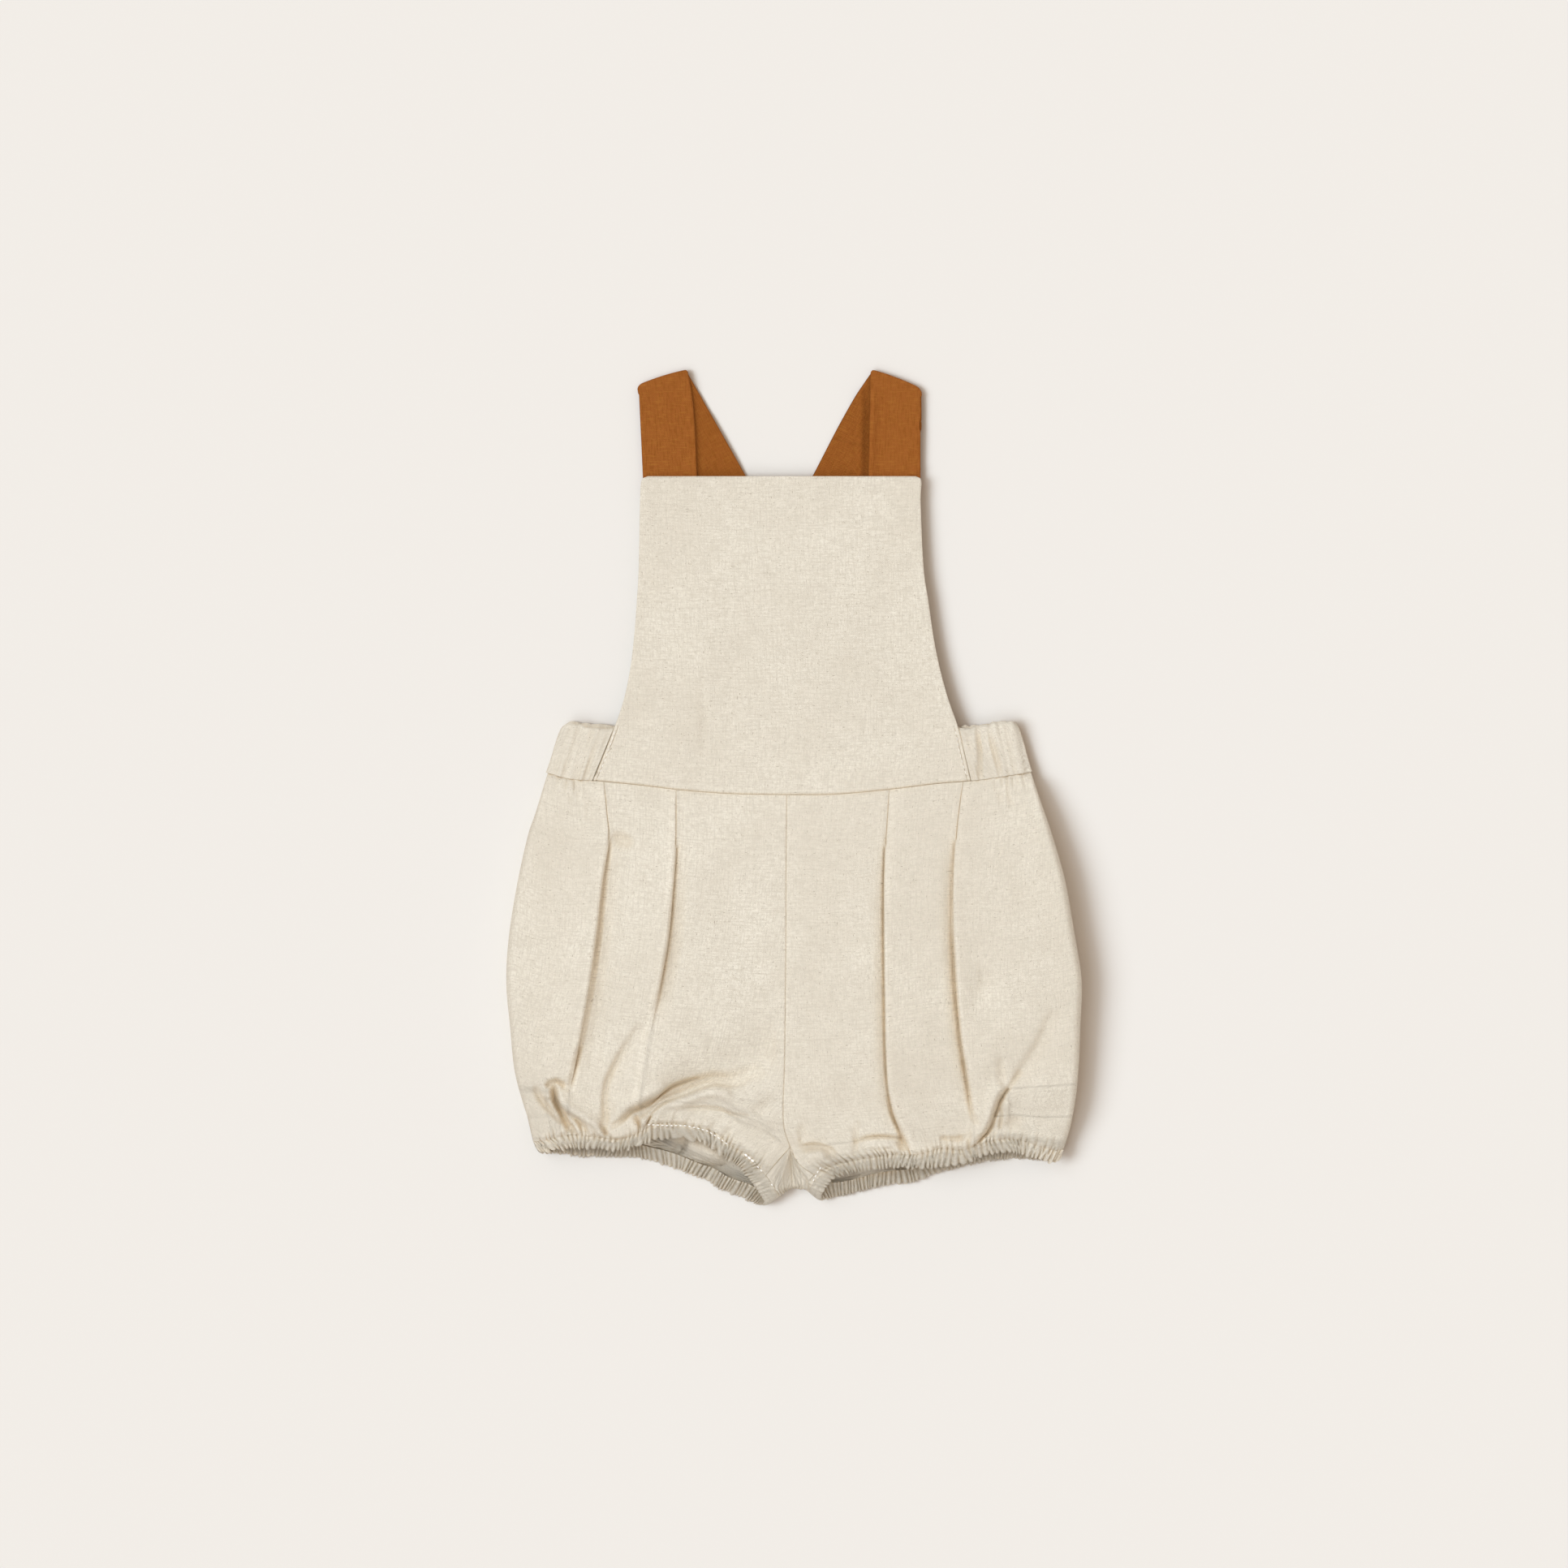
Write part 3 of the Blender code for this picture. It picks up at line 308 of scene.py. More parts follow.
# The bib's outline, one row a level from its top edge to the waist seam, and its height.
BIB_ROWS = table(
    "left_x left_y right_x right_y z",
    (-78.6, 166.6, 65.8, 166.6, 6.4),
    (-81.8, 164, 68.6, 164, 6.4),
    (-82.6, 152, 68.3, 152, 6.4),
    (-83.3, 118, 69.8, 118, 6.9),
    (-84.3, 99.6, 72.4, 99.6, 7.1),
    (-85.8, 80, 75.2, 80, 7.3),
    (-87.7, 64, 78.4, 64, 7.5),
    (-91.1, 47.3, 82.9, 47.3, 7.8),
    (-96.4, 31.3, 88.5, 31.2, 8.1),
    (-102.2, 17, 91.9, 17, 8.2),
    (-108.1, 3, 95.3, 2.8, 8.3),
)

# Each strap's two edges: its end under the bib, the fold at the shoulder and its end at the
# back of the waist.
STRAP_COLUMNS = "front_x front_y fold_x fold_y back_x back_y"
LEFT_STRAP = table(
    STRAP_COLUMNS,
    (-80.7, 156.5, -84.8, 215.6, 17.4, 32),
    (-51.3, 156.5, -57.6, 224.3, 51.4, 32),
)
RIGHT_STRAP = table(
    STRAP_COLUMNS,
    (40.1, 156.5, 42.3, 224.3, -66.2, 32),
    (68.2, 156.5, 70.2, 213.4, -32.2, 32),
)
STRAP_CROSSING = (-7.4, 107.2)


# ---------------------------------------------------------------- making cloth

THIN_LEVELS = 20  # steps that a sheet's thickness changes in
WELD = 0.002  # points nearer than this are joined
LOWEST = 0.02  # that a casing's points lie above the surface


def laid(line):
    """Points of the tables in metres from the origin."""
    return (np.asarray(line, float) - CENTRE) * MM


def ease(at, start, end):
    """From 0 before start to 1 past end, with soft ends."""
    share = np.clip((at - start) / (end - start), 0, 1)
    return share * share * (3 - 2 * share)


def resampled(grid, finer):
    """The grid with each of its steps cut into this many, through a cubic both ways."""
    for _ in range(2):
        steps = len(grid) - 1
        at = np.linspace(0, steps, finer * steps + 1)
        grid = smooth(at, np.arange(steps + 1), grid).swapaxes(0, 1)
    return grid


def grid_mesh(name, grid):
    """A mesh whose faces join the points of a grid of rows and columns."""
    bm = bmesh.new()
    rows, columns = grid.shape[:2]
    bmesh.ops.create_grid(bm, x_segments=columns - 1, y_segments=rows - 1, size=1)
    mesh = bpy.data.meshes.new(name)
    bm.to_mesh(mesh)
    bm.free()
    mesh.vertices.foreach_set("co", laid(grid).ravel())
    return mesh


def map_weave(mesh, grid):
    """Lays the threads along the rows and columns of the grid, in metres run on the cloth."""
    along = np.linalg.norm(np.diff(grid, axis=1), axis=2)
    down = np.linalg.norm(np.diff(grid, axis=0), axis=2)
    u = np.pad(np.cumsum(along, axis=1), ((0, 0), (1, 0)))
    v = np.pad(np.cumsum(down, axis=0), ((1, 0), (0, 0)))
    u = u - u[:, u.shape[1] // 2 : u.shape[1] // 2 + 1]
    flat = np.stack([u, v], axis=-1).reshape(-1, 2) * MM
    corners = np.empty(len(mesh.loops), np.int32)
    mesh.loops.foreach_get("vertex_index", corners)
    layer = mesh.uv_layers.new(name="weave")
    layer.data.foreach_set("uv", flat[corners].ravel().astype(np.float32))


def finished(mesh, look):
    """A smooth-shaded object of the mesh, in the scene."""
    mesh.materials.clear()
    mesh.materials.append(look)
    mesh.shade_smooth()
    mesh.update()
    made = bpy.data.objects.new(mesh.name, mesh)
    bpy.context.scene.collection.objects.link(made)
    return made


def cloth(name, grid, thickness, look, faces=(0, 0, 1), thin=None, mapped=None):
    """A sheet of cloth with its middle on the grid. faces is where most of it looks, thin the
    share of the thickness left at each point, and mapped the grid that the weave is laid over."""
    mesh = grid_mesh(name, grid)
    map_weave(mesh, grid if mapped is None else mapped)
    mesh.update()
    normals = np.empty(len(mesh.polygons) * 3, np.float32)
    mesh.polygons.foreach_get("normal", normals)
    if np.dot(normals.reshape(-1, 3).sum(axis=0), faces) < 0:
        mesh.flip_normals()
    made = finished(mesh, look)
    wall = made.modifiers.new("wall", "SOLIDIFY")
    wall.thickness = thickness * MM
    wall.offset = 0
    wall.use_even_offset = False
    if thin is not None:
        group = made.vertex_groups.new(name="thickness")
        levels = np.round(np.clip(thin, 0, 1).ravel() * THIN_LEVELS).astype(int)
        for step in np.unique(levels):
            group.add(np.flatnonzero(levels == step).tolist(), step / THIN_LEVELS, "REPLACE")
        wall.vertex_group = group.name
    return made


def casing(name, sections, look, closed):
    """Cloth through closed sections, one after another."""
    if closed:
        sections = np.concatenate([sections, sections[:1]])
    around = np.concatenate([sections, sections[:, :1]], axis=1)
    mesh = grid_mesh(name, around)
    map_weave(mesh, around)
    bm = bmesh.new()
    bm.from_mesh(mesh)
    bmesh.ops.remove_doubles(bm, verts=bm.verts, dist=WELD * MM)
    if not closed:
        ends = [edge for edge in bm.edges if edge.is_boundary]
        bmesh.ops.holes_fill(bm, edges=ends, sides=len(around[0]) + 2)
    bmesh.ops.recalc_face_normals(bm, faces=bm.faces)
    if bm.calc_volume(signed=True) < 0:
        bmesh.ops.reverse_faces(bm, faces=bm.faces)
    bm.to_mesh(mesh)
    bm.free()
    return finished(mesh, look)


def dress(made, node):
    """Puts a piece in the place of its solid, which it hides, and hangs it under the root."""
    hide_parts(node)
    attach(made, "root")


# ---------------------------------------------------------------- gathers and creases

MOST_GATHERS = 600  # along one run
WEAKEST = 1.1  # how much weaker a gather may be, as a multiple of how uneven they are
CREASE_END = 1.5  # how far in a crease's ends fade, in its widths


def gathered(run, pitch, seed, sharp=0.8, uneven=0.5):
    """Height from 0 to 1 over uneven gathers along a run, and the number of each one."""
    rng = np.random.default_rng(seed)
    edges = np.cumsum(pitch * rng.uniform(1 - uneven, 1 + uneven, MOST_GATHERS)) - 2 * pitch
    index = np.clip(np.searchsorted(edges, run, side="right") - 1, 0, MOST_GATHERS - 2)
    part = (run - edges[index]) / (edges[index + 1] - edges[index])
    strength = rng.uniform(1 - WEAKEST * uneven, 1.0, MOST_GATHERS)
    return np.sin(np.pi * np.clip(part, 0, 1)) ** sharp * strength[index], index


def gathers_up(run, away, pitch, reach, seed, sharp=0.8, uneven=0.5):
    """Gathers that start at a seam and die out over uneven lengths away from it."""
    height, index = gathered(run, pitch, seed, sharp, uneven)
    rng = np.random.default_rng(seed + 1)
    ends = rng.uniform(*reach, MOST_GATHERS)[index]
    return height * np.exp(-((away / ends) ** 2))


def creased(plan, creases):
    """How far the creases lift each point. Each is a height, a width, how much steeper its left
    flank is than its right (-1 to 1), and the points of its line; it dies out at both ends."""
    rise = np.zeros(plan.shape[:2])
    for height, width, lean, *line in creases:
        line = np.array(line, float)
        run = lengths(line)
        best = np.full(rise.shape, np.inf)
        along = np.zeros(rise.shape)
        flank = np.ones(rise.shape)
        for start, end, before in zip(line[:-1], line[1:], run[:-1]):
            step = end - start
            away = plan - start
            share = np.clip((away @ step) / np.dot(step, step), 0, 1)
            gap = np.linalg.norm(away - share[..., None] * step, axis=-1)
            nearer = gap < best
            side = np.sign(step[0] * away[..., 1] - step[1] * away[..., 0])
            best = np.where(nearer, gap, best)
            flank = np.where(nearer, side, flank)
            reached = (before + share * np.linalg.norm(step)) / run[-1]
            along = np.where(nearer, reached, along)
        spread = width * (1 - lean * flank)
        from_end = run[-1] * np.minimum(along, 1 - along)
        body = np.sqrt(np.sin(np.pi * np.clip(along, 0, 1))) * ease(from_end, 0, CREASE_END * width)
        rise += height * body * np.exp(-((best / spread) ** 2))
    return rise


# ---------------------------------------------------------------- lines that pieces share


def casing_line(stations, edges, samples, closed):
    """Both edges of a casing and its outward direction at each sample along its middle."""
    both = np.concatenate([edge_line(stations, edge) for edge in edges], axis=1)
    if closed:
        both = np.concatenate([both, both[:1]])
    knots = lengths((both[:, :3] + both[:, 3:]) / 2)
    at = np.interp(samples, range(len(knots)), knots)
    step = 0.5  # over which the direction along the casing is taken
    here = smooth(at, knots, both, closed)
    ahead = smooth(at + step, knots, both, closed)
    behind = smooth(at - step, knots, both, closed)
    along = (ahead - behind)[:, :3] + (ahead - behind)[:, 3:]
    across = here[:, 3:] - here[:, :3]
    return here[:, :3], here[:, 3:], unit(np.cross(across, along))


def waist_seam_at(x):
    """How far up the waist seam lies at each place across it."""
    inside = np.clip(x, WAIST_SEAM["x"][0], WAIST_SEAM["x"][-1])
    return smooth(inside, WAIST_SEAM["x"], WAIST_SEAM["y"])


def rows_between(parts):
    """Row positions in a table, with each interval split as asked."""
    steps = [i + np.arange(n) / n for i, n in enumerate(parts)]
    return np.append(np.concatenate(steps), len(parts))


def offset_line(line, amount):
    """The line in plan moved sideways, to its right for a positive amount, mitred at bends."""
    steps = unit(np.diff(line[:, :2], axis=0))
    sideways = np.stack([steps[:, 1], -steps[:, 0]], axis=1)
    before = np.concatenate([sideways[:1], sideways])
    after = np.concatenate([sideways, sideways[-1:]])
    bisector = unit(before + after)
    reach = amount / np.sum(bisector * after, axis=1)
    moved = line.copy()
    moved[:, :2] += bisector * reach[:, None]
    return moved


def inseam(turn, at):
    """The inside-leg seam from the crotch (0) to the casing (1)."""
    ends = points(turn, "end_x", "end_y", "end_z")[CROTCH_TURN:]
    return smooth(np.asarray(at) * (len(ends) - 1), range(len(ends)), ends)


def centre_line(rows, turn, at):
    """The front's centre seam down to the crotch, then the inside-leg seam."""
    to_crotch = points(rows, "end_x", "end_y", "end_z")[: CROTCH_ROW + 1]
    seam = smooth(np.minimum(at, CROTCH_ROW), range(CROTCH_ROW + 1), to_crotch)
    leg = inseam(turn, np.clip(at - CROTCH_ROW, 0, 1))
    return np.where((at > CROTCH_ROW)[:, None], leg, seam)


# ---------------------------------------------------------------- bloomers, front

# Creases of the front as creased() takes them: first those that carry the pleats on to the
# hem, then the folds above the casing.
LEFT_CREASES = (
    (0.8, 5, 0.75, (-104.5, -62), (-106.8, -81), (-109.8, -108), (-114.4, -133.6), (-118, -153),
     (-119.6, -162)),
    (-1.1, 6, 0, (-101.5, -90), (-105, -134), (-107.5, -158), (-106, -175)),
    (-1.8, 1.6, 0, (-98.2, -26), (-101.4, -51), (-104.4, -79), (-108.4, -108), (-113.2, -134),
     (-117, -152)),
    (-1.7, 5.6, -0.2, (-93.6, -26), (-96.8, -51), (-99.8, -79), (-103.7, -108), (-108.6, -134),
     (-113.6, -157)),
    (-1.6, 1.5, 0, (-114.8, -138), (-117.4, -149), (-119.2, -158), (-121.2, -165)),
    (0.8, 4.2, 0.75, (-66.5, -62), (-68.7, -86.5), (-71.5, -101), (-74.6, -118)),
    (-1, 1.5, 0, (-62.2, -27), (-64, -54), (-66.6, -82), (-71.4, -108), (-74.6, -122)),
    (-1.4, 4.4, -0.3, (-59.8, -27), (-61, -54), (-63.7, -82), (-68.5, -110), (-75.2, -134)),
    (-0.4, 2.4, 0, (-76.5, -120), (-80.5, -129), (-84.5, -138)),
    (-1.5, 5, -0.6, (-81, -124), (-87.2, -136.2), (-94.2, -147.8), (-99.5, -158), (-101.3, -168),
     (-100, -182)),
    (-1, 1.8, 0, (-89, -136), (-95.6, -147.8), (-100.6, -159.6), (-101.6, -168.4), (-100, -180.6)),
    (-2.6, 1.5, 0, (-133.6, -162), (-130.6, -159.2), (-127.3, -158.2), (-124, -159.6),
     (-122.4, -163)),
    (1.2, 1.6, 0, (-133.2, -163.5), (-131.4, -165.6), (-131, -168.5)),
    (-4.8, 1.8, 0, (-128.8, -158.5), (-128.5, -164), (-127.8, -168.5), (-126, -172.6),
     (-123.2, -177.6), (-120.2, -184.6), (-119, -188)),
    (-2, 2, 0, (-139.5, -160), (-135.9, -167.4), (-132, -172.4), (-127.4, -177.4),
     (-122.4, -182.4)),
    (2.6, 2.6, -0.3, (-124.6, -161), (-125.2, -166.8), (-122.4, -171.6), (-116, -175.9),
     (-108, -179.2), (-101, -183.8), (-94, -187)),
    (-1.5, 1.3, 0, (-123.4, -174.6), (-116.6, -178.6), (-111.2, -183.2), (-107, -188.5)),
    (-2.2, 1.2, 0, (-104.2, -178), (-100.9, -182), (-96.2, -184.9), (-90.2, -186.6),
     (-86.5, -187.2)),
    (-1.4, 1.1, 0, (-119.5, -180.5), (-117.6, -184.5), (-116.4, -188.4)),
    (-1.2, 1.1, 0, (-115.5, -180.5), (-113.2, -184.5), (-112, -188.4)),
    (1.4, 9, 0, (-95, -166), (-80, -160), (-68, -152), (-52, -140)),
    (-3.8, 12, -0.2, (-78, -170), (-60, -161), (-44, -155.5), (-28, -150.5), (-8, -143),
     (8, -134)),
    (2, 3.4, 0, (-98, -174), (-86, -169.6), (-76, -164.6), (-66.6, -158.6)),
    (-3.2, 1.5, 0, (-99.5, -180), (-88.1, -174.8), (-79.8, -171), (-71.9, -167), (-65.2, -162.8),
     (-59.3, -160.4), (-50, -158.6)),
    (-2.9, 4.4, 0, (-90, -178.6), (-77.6, -173), (-68, -168), (-58, -163.6), (-44, -160.2),
     (-26, -156), (-12, -152)),
    (-1.3, 1.5, 0, (-78.6, -184), (-73.8, -177.6), (-68.8, -174.1), (-60.6, -170.7),
     (-52.5, -167.3), (-40, -162.6), (-24, -159)),
    (1.8, 4, 0, (-70, -179.6), (-60, -175.2), (-48, -170), (-32, -164.6)),
    (-0.9, 1.7, 0, (-62, -180.4), (-52.5, -181.2), (-44.3, -182), (-34, -181.2), (-24, -179.6)),
    (-1, 3.6, 0, (-25, -179), (-12.2, -169.8), (-5, -166)),
    (-2, 1.3, 0.3, (-85.2, -175.6), (-83, -180.6), (-81, -187.4)),
    (1.6, 2, 0, (-82, -176), (-79.6, -181), (-77.6, -184.6)),
    (-1.5, 1.2, 0, (-79, -187), (-76.8, -183.4), (-73.6, -179.6)),
    (-0.9, 9, 0, (-134, -96), (-128, -126), (-134, -150)),
    (-0.7, 10, 0, (-46, -34), (-30, -64), (-40, -100)),
    (-0.7, 8, 0, (-118, -14), (-124, -44), (-132, -70)),
    (-2.4, 4, 0, (-100, -26.5), (-93, -28.5), (-84, -33)),
    (-1.8, 1.2, 0, (-121.6, 5), (-120.6, -3), (-119, -10)),
    (-1.5, 1.2, 0, (-117.6, 5), (-116.4, -2), (-114.5, -9)),
    (-1, 2.6, 0, (-112, 5), (-109.5, -6), (-109, -20)),
)
RIGHT_CREASES = (
    (0.5, 3.2, -0.8, (49.2, -60), (48.9, -90), (49.4, -116), (49.9, -145), (51.6, -168),
     (55.2, -177.5), (59.2, -185.5), (62.5, -194)),
    (-0.7, 2.4, 0.4, (48.2, -27), (46.9, -60), (47.2, -110), (47.6, -138), (48.9, -160),
     (51.4, -174), (55.6, -187)),
    (-0.9, 0.7, 0, (49.2, -24), (48.2, -54), (48.2, -82), (48.5, -110), (48.9, -138), (50.2, -160),
     (52, -170)),
    (-1.7, 1.4, 0, (50.6, -164), (53, -175.8), (56, -182.6), (58.4, -189), (60.6, -194),
     (64, -197.4)),
    (0.5, 4.4, -0.75, (86.6, -60), (86.4, -90), (87.2, -110), (88.3, -127), (91, -140.5),
     (93, -154), (95, -167), (97.6, -182)),
    (-1.1, 2.8, 0.4, (85.6, -26), (84, -51), (84.1, -79), (85.7, -108), (88.2, -134), (91.8, -155),
     (94.2, -172)),
    (-1.6, 1, 0, (85.4, -76), (85.7, -88), (86.8, -108), (89.2, -134), (92.4, -154)),
    (-1.5, 1.4, 0, (90.6, -144), (93.4, -160), (94.4, -168), (95.6, -175.5), (98, -182.6)),
    (-0.9, 2.2, 0.2, (111.2, -144), (111.4, -152.5), (113, -161)),
    (-1.6, 4.6, -0.3, (141, -117), (131.6, -138.7), (124, -150.2), (116.8, -160.4)),
    (-1.2, 1.4, 0, (122.5, -151.5), (117.4, -158.8), (113, -165)),
    (-3.2, 0.9, 0, (115.4, -161.4), (113.2, -164.6), (110.6, -169.2), (108.9, -174.4),
     (108, -179)),
    (-2.6, 1, 0, (108.9, -174), (107.6, -179.4), (106.4, -183.6), (104.2, -188), (100, -191.8),
     (94, -194.2)),
    (2.2, 2.6, 0.4, (112.4, -158.5), (107.8, -166), (105.2, -173.6), (103.6, -180), (101, -185.6),
     (94.6, -189.8)),
    (1, 2.4, 0, (116.2, -167), (113.4, -172), (112.6, -178), (113.6, -185)),
    (-1.6, 1.2, 0, (110.4, -171.5), (111.4, -178), (110.8, -187)),
    (-1.4, 1.3, 0, (77.5, -189.2), (86, -189), (94, -187.4)),
    (-1.8, 11, 0, (88, -108), (99, -110), (116, -106)),
    (1.2, 9, 0, (100, -128), (104, -145), (103, -160)),
    (1.4, 9, 0, (128, -150), (134, -164), (130, -180)),
    (-1.2, 5, 0, (121, -176), (118, -184), (119, -190)),
    (-0.9, 1.6, 0.3, (34.2, -178), (33.9, -190), (33.7, -203)),
    (-1.8, 1.2, -0.4, (32, -193.4), (39, -190.6), (45.4, -189.4), (59.5, -188.6)),
    (1.1, 3, -0.4, (36, -195.5), (46, -194.4), (56, -193.5)),
    (-1.8, 2.4, 0, (57.6, -186), (57.8, -192), (59.6, -198)),
    (-1.5, 2.4, 0.5, (2, -188), (5.2, -194), (14, -194.6), (20.6, -197.2), (24.4, -203)),
    (2.2, 3.4, 0.4, (1, -196), (6, -199), (14.5, -198.8), (20.4, -202)),
    (1.2, 2.6, 0, (-2, -182), (0.6, -190), (3.6, -197)),
    (-0.8, 3, 0, (3, -180), (5, -188), (6.4, -193)),
    (-0.9, 9, 0, (14, -160), (28, -172), (44, -176)),
    (0.8, 9, 0, (64, -90), (67, -124), (66, -156)),
    (-1.6, 1.2, 0, (108.5, 6), (109.5, -2), (112, -10)),
    (-1.3, 1.4, 0, (113, 6), (114.5, -3), (118, -12)),
    (-0.8, 8, 0, (112, -20), (120, -48), (132, -76)),
    (-0.7, 10, 0, (20, -40), (30, -70), (18, -104)),
)

FRONT_SPLIT = (8, 9, 14, 11, 13, 26, 34, 30, 20, 18)  # rows in each interval of the table
CREASE_GAIN = 1.5
CREASE_ROWS = 12  # rows below the waist that the creases start over
CREASE_FADE = 9  # how far from the centre seam they are at their full height
ROLL_SHARE = 0.32  # of the roll of the solid
FRONT_ROLL = np.radians([0, 9, 18, 28, 38, 48, 58, 68, 79, 90])
PLEATED = ("side", "outer", "inner")  # lines of a front before its centre line
FRONT_COLUMNS = (64, 48, 110)  # to the outer pleat, to the inner pleat, to the centre seam
HEM_SAMPLES = 1500
EDGE_REACH = 0.12  # from an edge to the row just inside it
BAND_OVER = 0.4  # how far the waist casing stands above the middle of a front
BAND_REACH = 9  # how far down a front is pressed below it
DRAWN_STRETCH = (62, 115)  # of the left leg's run, where its gathers are drawn apart
DRAWN_APART = 13.0

# Gathers above a leg's casing: small ones and broad ones, how far up each kind reaches, and the
# dip along the casing. They are weaker by the inside-leg seam.
SMALL_REACH = (1.5, 6)
BROAD_PITCH = 8.0
BROAD_REACH = (8, 24)
BROAD_HEIGHT = 0.7
BROAD_SLANT = 0.18
BROAD_START = 4  # how far up the broad ones are at their full height
HEM_DIP = 0.5
HEM_DIP_REACH = 1.3
LEAST_GATHERED = 0.3  # share of the gathers left by the seam
SEAM_PAST = 5  # how far past the seam they are weakest
SEAM_REACH = (4, 13)

# Puckers under the waist casing, beside the bib, and the grooves at the seams
PUCKER_PITCH = 4.4
PUCKER_REACH = (2, 12)
PUCKER_HEIGHT = 2.0
PUCKER_DIP = 0.4
PUCKER_DIP_REACH = 4
PUCKER_X = 118  # how far from the middle they are strongest
PUCKER_SPREAD = 14
PUCKER_START = 2.5
RUN_START = 400  # added to a place across the garment, to count gathers along it
WAIST_GROOVE = 0.1
WAIST_GROOVE_REACH = 1.0
CENTRE_GROOVE = 0.3
CENTRE_GROOVE_REACH = 0.9
ROWS_FINER = 3.5  # than the rows of the solid, which the bends at the hem are counted in

# A knife pleat across its edge, as how far each point lies back from the edge and how high, as
# a share of the pleat: where it is folded, and where it is sewn down or has opened out.
PLEAT_HEIGHT = 2.3
PLEAT = table(
    "folded height away sewn open",
    (3.2, 1, 3.2, 1, 0.9),
    (2.4, 1.03, 2.4, 1, 0.8),
    (1.6, 1.08, 1.6, 1, 0.7),
    (1, 1.12, 1, 1, 0.62),
    (0.5, 1.1, 0.6, 0.98, 0.56),
    (0.12, 1, 0.3, 0.8, 0.52),
    (-0.08, 0.8, 0.1, 0, 0.49),
    (0.1, 0.58, -0.05, -0.62, 0.46),
    (0.5, 0.48, -0.25, -0.3, 0.43),
    (1.2, 0.44, -0.5, 0, 0.4),
    (1.8, 0.36, -0.8, 0, 0.36),
    (2, 0.06, -1.1, 0, 0.31),
    (1.6, -0.18, -1.4, 0, 0.26),
    (0.8, -0.44, -1.7, 0, 0.21),
    (0.1, -0.62, -2, 0, 0.16),
    (-0.5, -0.52, -2.4, 0, 0.1),
    (-1.1, -0.18, -2.8, 0, 0.04),
    (-2.6, 0, -3.6, 0, 0),
)
TOP_LAYER = 6  # points of the pleat in its upper layer
NOTCH_ROW = 2.1  # where the stitching of the pleats ends
NOTCH_ENDS = (NOTCH_ROW - 0.10, NOTCH_ROW + 0.06)
NOTCH_STEP = 0.4
PLEAT_START = 0.35  # share of its height that a pleat has at the waist
PLEAT_GROWS = (1.0, 3.6)  # rows over which it gets the rest
OPEN_LOSS = 0.9  # share of its height that it loses where it is open
# Rows over which the outer and the inner pleat open
PLEAT_OPENS = {"left": ((6.2, 8.0), (4.6, 6.0)), "right": ((6.6, 9.2), (8.4, 9.9))}


def pleat_across(at, opens):
    """Where the points of a pleat lie across its edge at one level, and their heights."""
    sewn = 1 - ease(at, *NOTCH_ENDS)
    opened = ease(at, *opens)
    folded = (1 - sewn) * (1 - opened)
    away = PLEAT["away"] + folded * (PLEAT["folded"] - NOTCH_STEP - PLEAT["away"])
    grown = PLEAT_START + (1 - PLEAT_START) * ease(at, *PLEAT_GROWS)
    step = PLEAT_HEIGHT * grown * (1 - OPEN_LOSS * opened)
    height = sewn * PLEAT["sewn"] + folded * PLEAT["height"] + (1 - sewn) * opened * PLEAT["open"]
    return away, height * step, step


def hem_line(stations, side, start, thickness):
    """The middle of a leg's cloth where it meets its casing, and the run along the casing."""
    samples = np.linspace(start, INSEAM_STATION, HEM_SAMPLES)
    near, far, out = casing_line(stations, ("leg", "free"), samples, True)
    middle = near - unit(far - near) * HALF
    line = middle - side * out * (CASING / 2 - thickness / 2)
    line[:, 2] = np.where(line[:, 2] < CASING / 2, thickness / 2, line[:, 2])
    return line, casing_run(stations, samples)


def casing_run(stations, samples):
    """Distance run along a casing from its first station."""
    middle = middle_line(stations, "leg", "free")
    run = lengths(np.concatenate([middle, middle[:1]]))
    return np.interp(samples, range(len(run)), run)


def meet_hem(grid, hem, run, finer=1.0):
    """Bends the last rows so that the last one lies on the hem; the run along it of each column."""
    last = grid[-1]
    away = np.linalg.norm(last[:, None] - hem[None], axis=2)
    nearest = np.maximum.accumulate(away.argmin(axis=1))
    nearest[0] = 0
    nearest[-1] = len(hem) - 1
    move = hem[nearest] - last
    rows_left = np.arange(len(grid))[::-1]
    reach = (3 + 2 * np.linalg.norm(move, axis=1)) * finer
    share = np.clip(1 - rows_left[:, None] / reach, 0, 1)
    return grid + share[..., None] * move, run[nearest]


def above_hem(grid):
    """How far up the cloth each point is from the last row."""
    steps = np.linalg.norm(np.diff(grid, axis=0), axis=2)[::-1]
    return np.pad(np.cumsum(steps, axis=0), ((1, 0), (0, 0)))[::-1]


def gather_share(run, seam):
    """How fully a leg is gathered along its front: less by the inside-leg seam."""
    past = ease(np.abs(run - seam - SEAM_PAST), *SEAM_REACH)
    return LEAST_GATHERED + (1 - LEAST_GATHERED) * past


def tight_ends(grid):
    """The grid with a row just inside its first and its last, for their edges to look crisp."""
    first = grid[:1] + EDGE_REACH * unit(grid[1:2] - grid[:1])
    last = grid[-1:] + EDGE_REACH * unit(grid[-2:-1] - grid[-1:])
    return np.concatenate([grid[:1], first, grid[1:-1], last, grid[-1:]])


def gather_run(run, side):
    """The run that a leg's gathers are counted on: drawn apart for a stretch of the left leg."""
    return run - (DRAWN_APART * ease(run, *DRAWN_STRETCH) if side < 0 else 0)


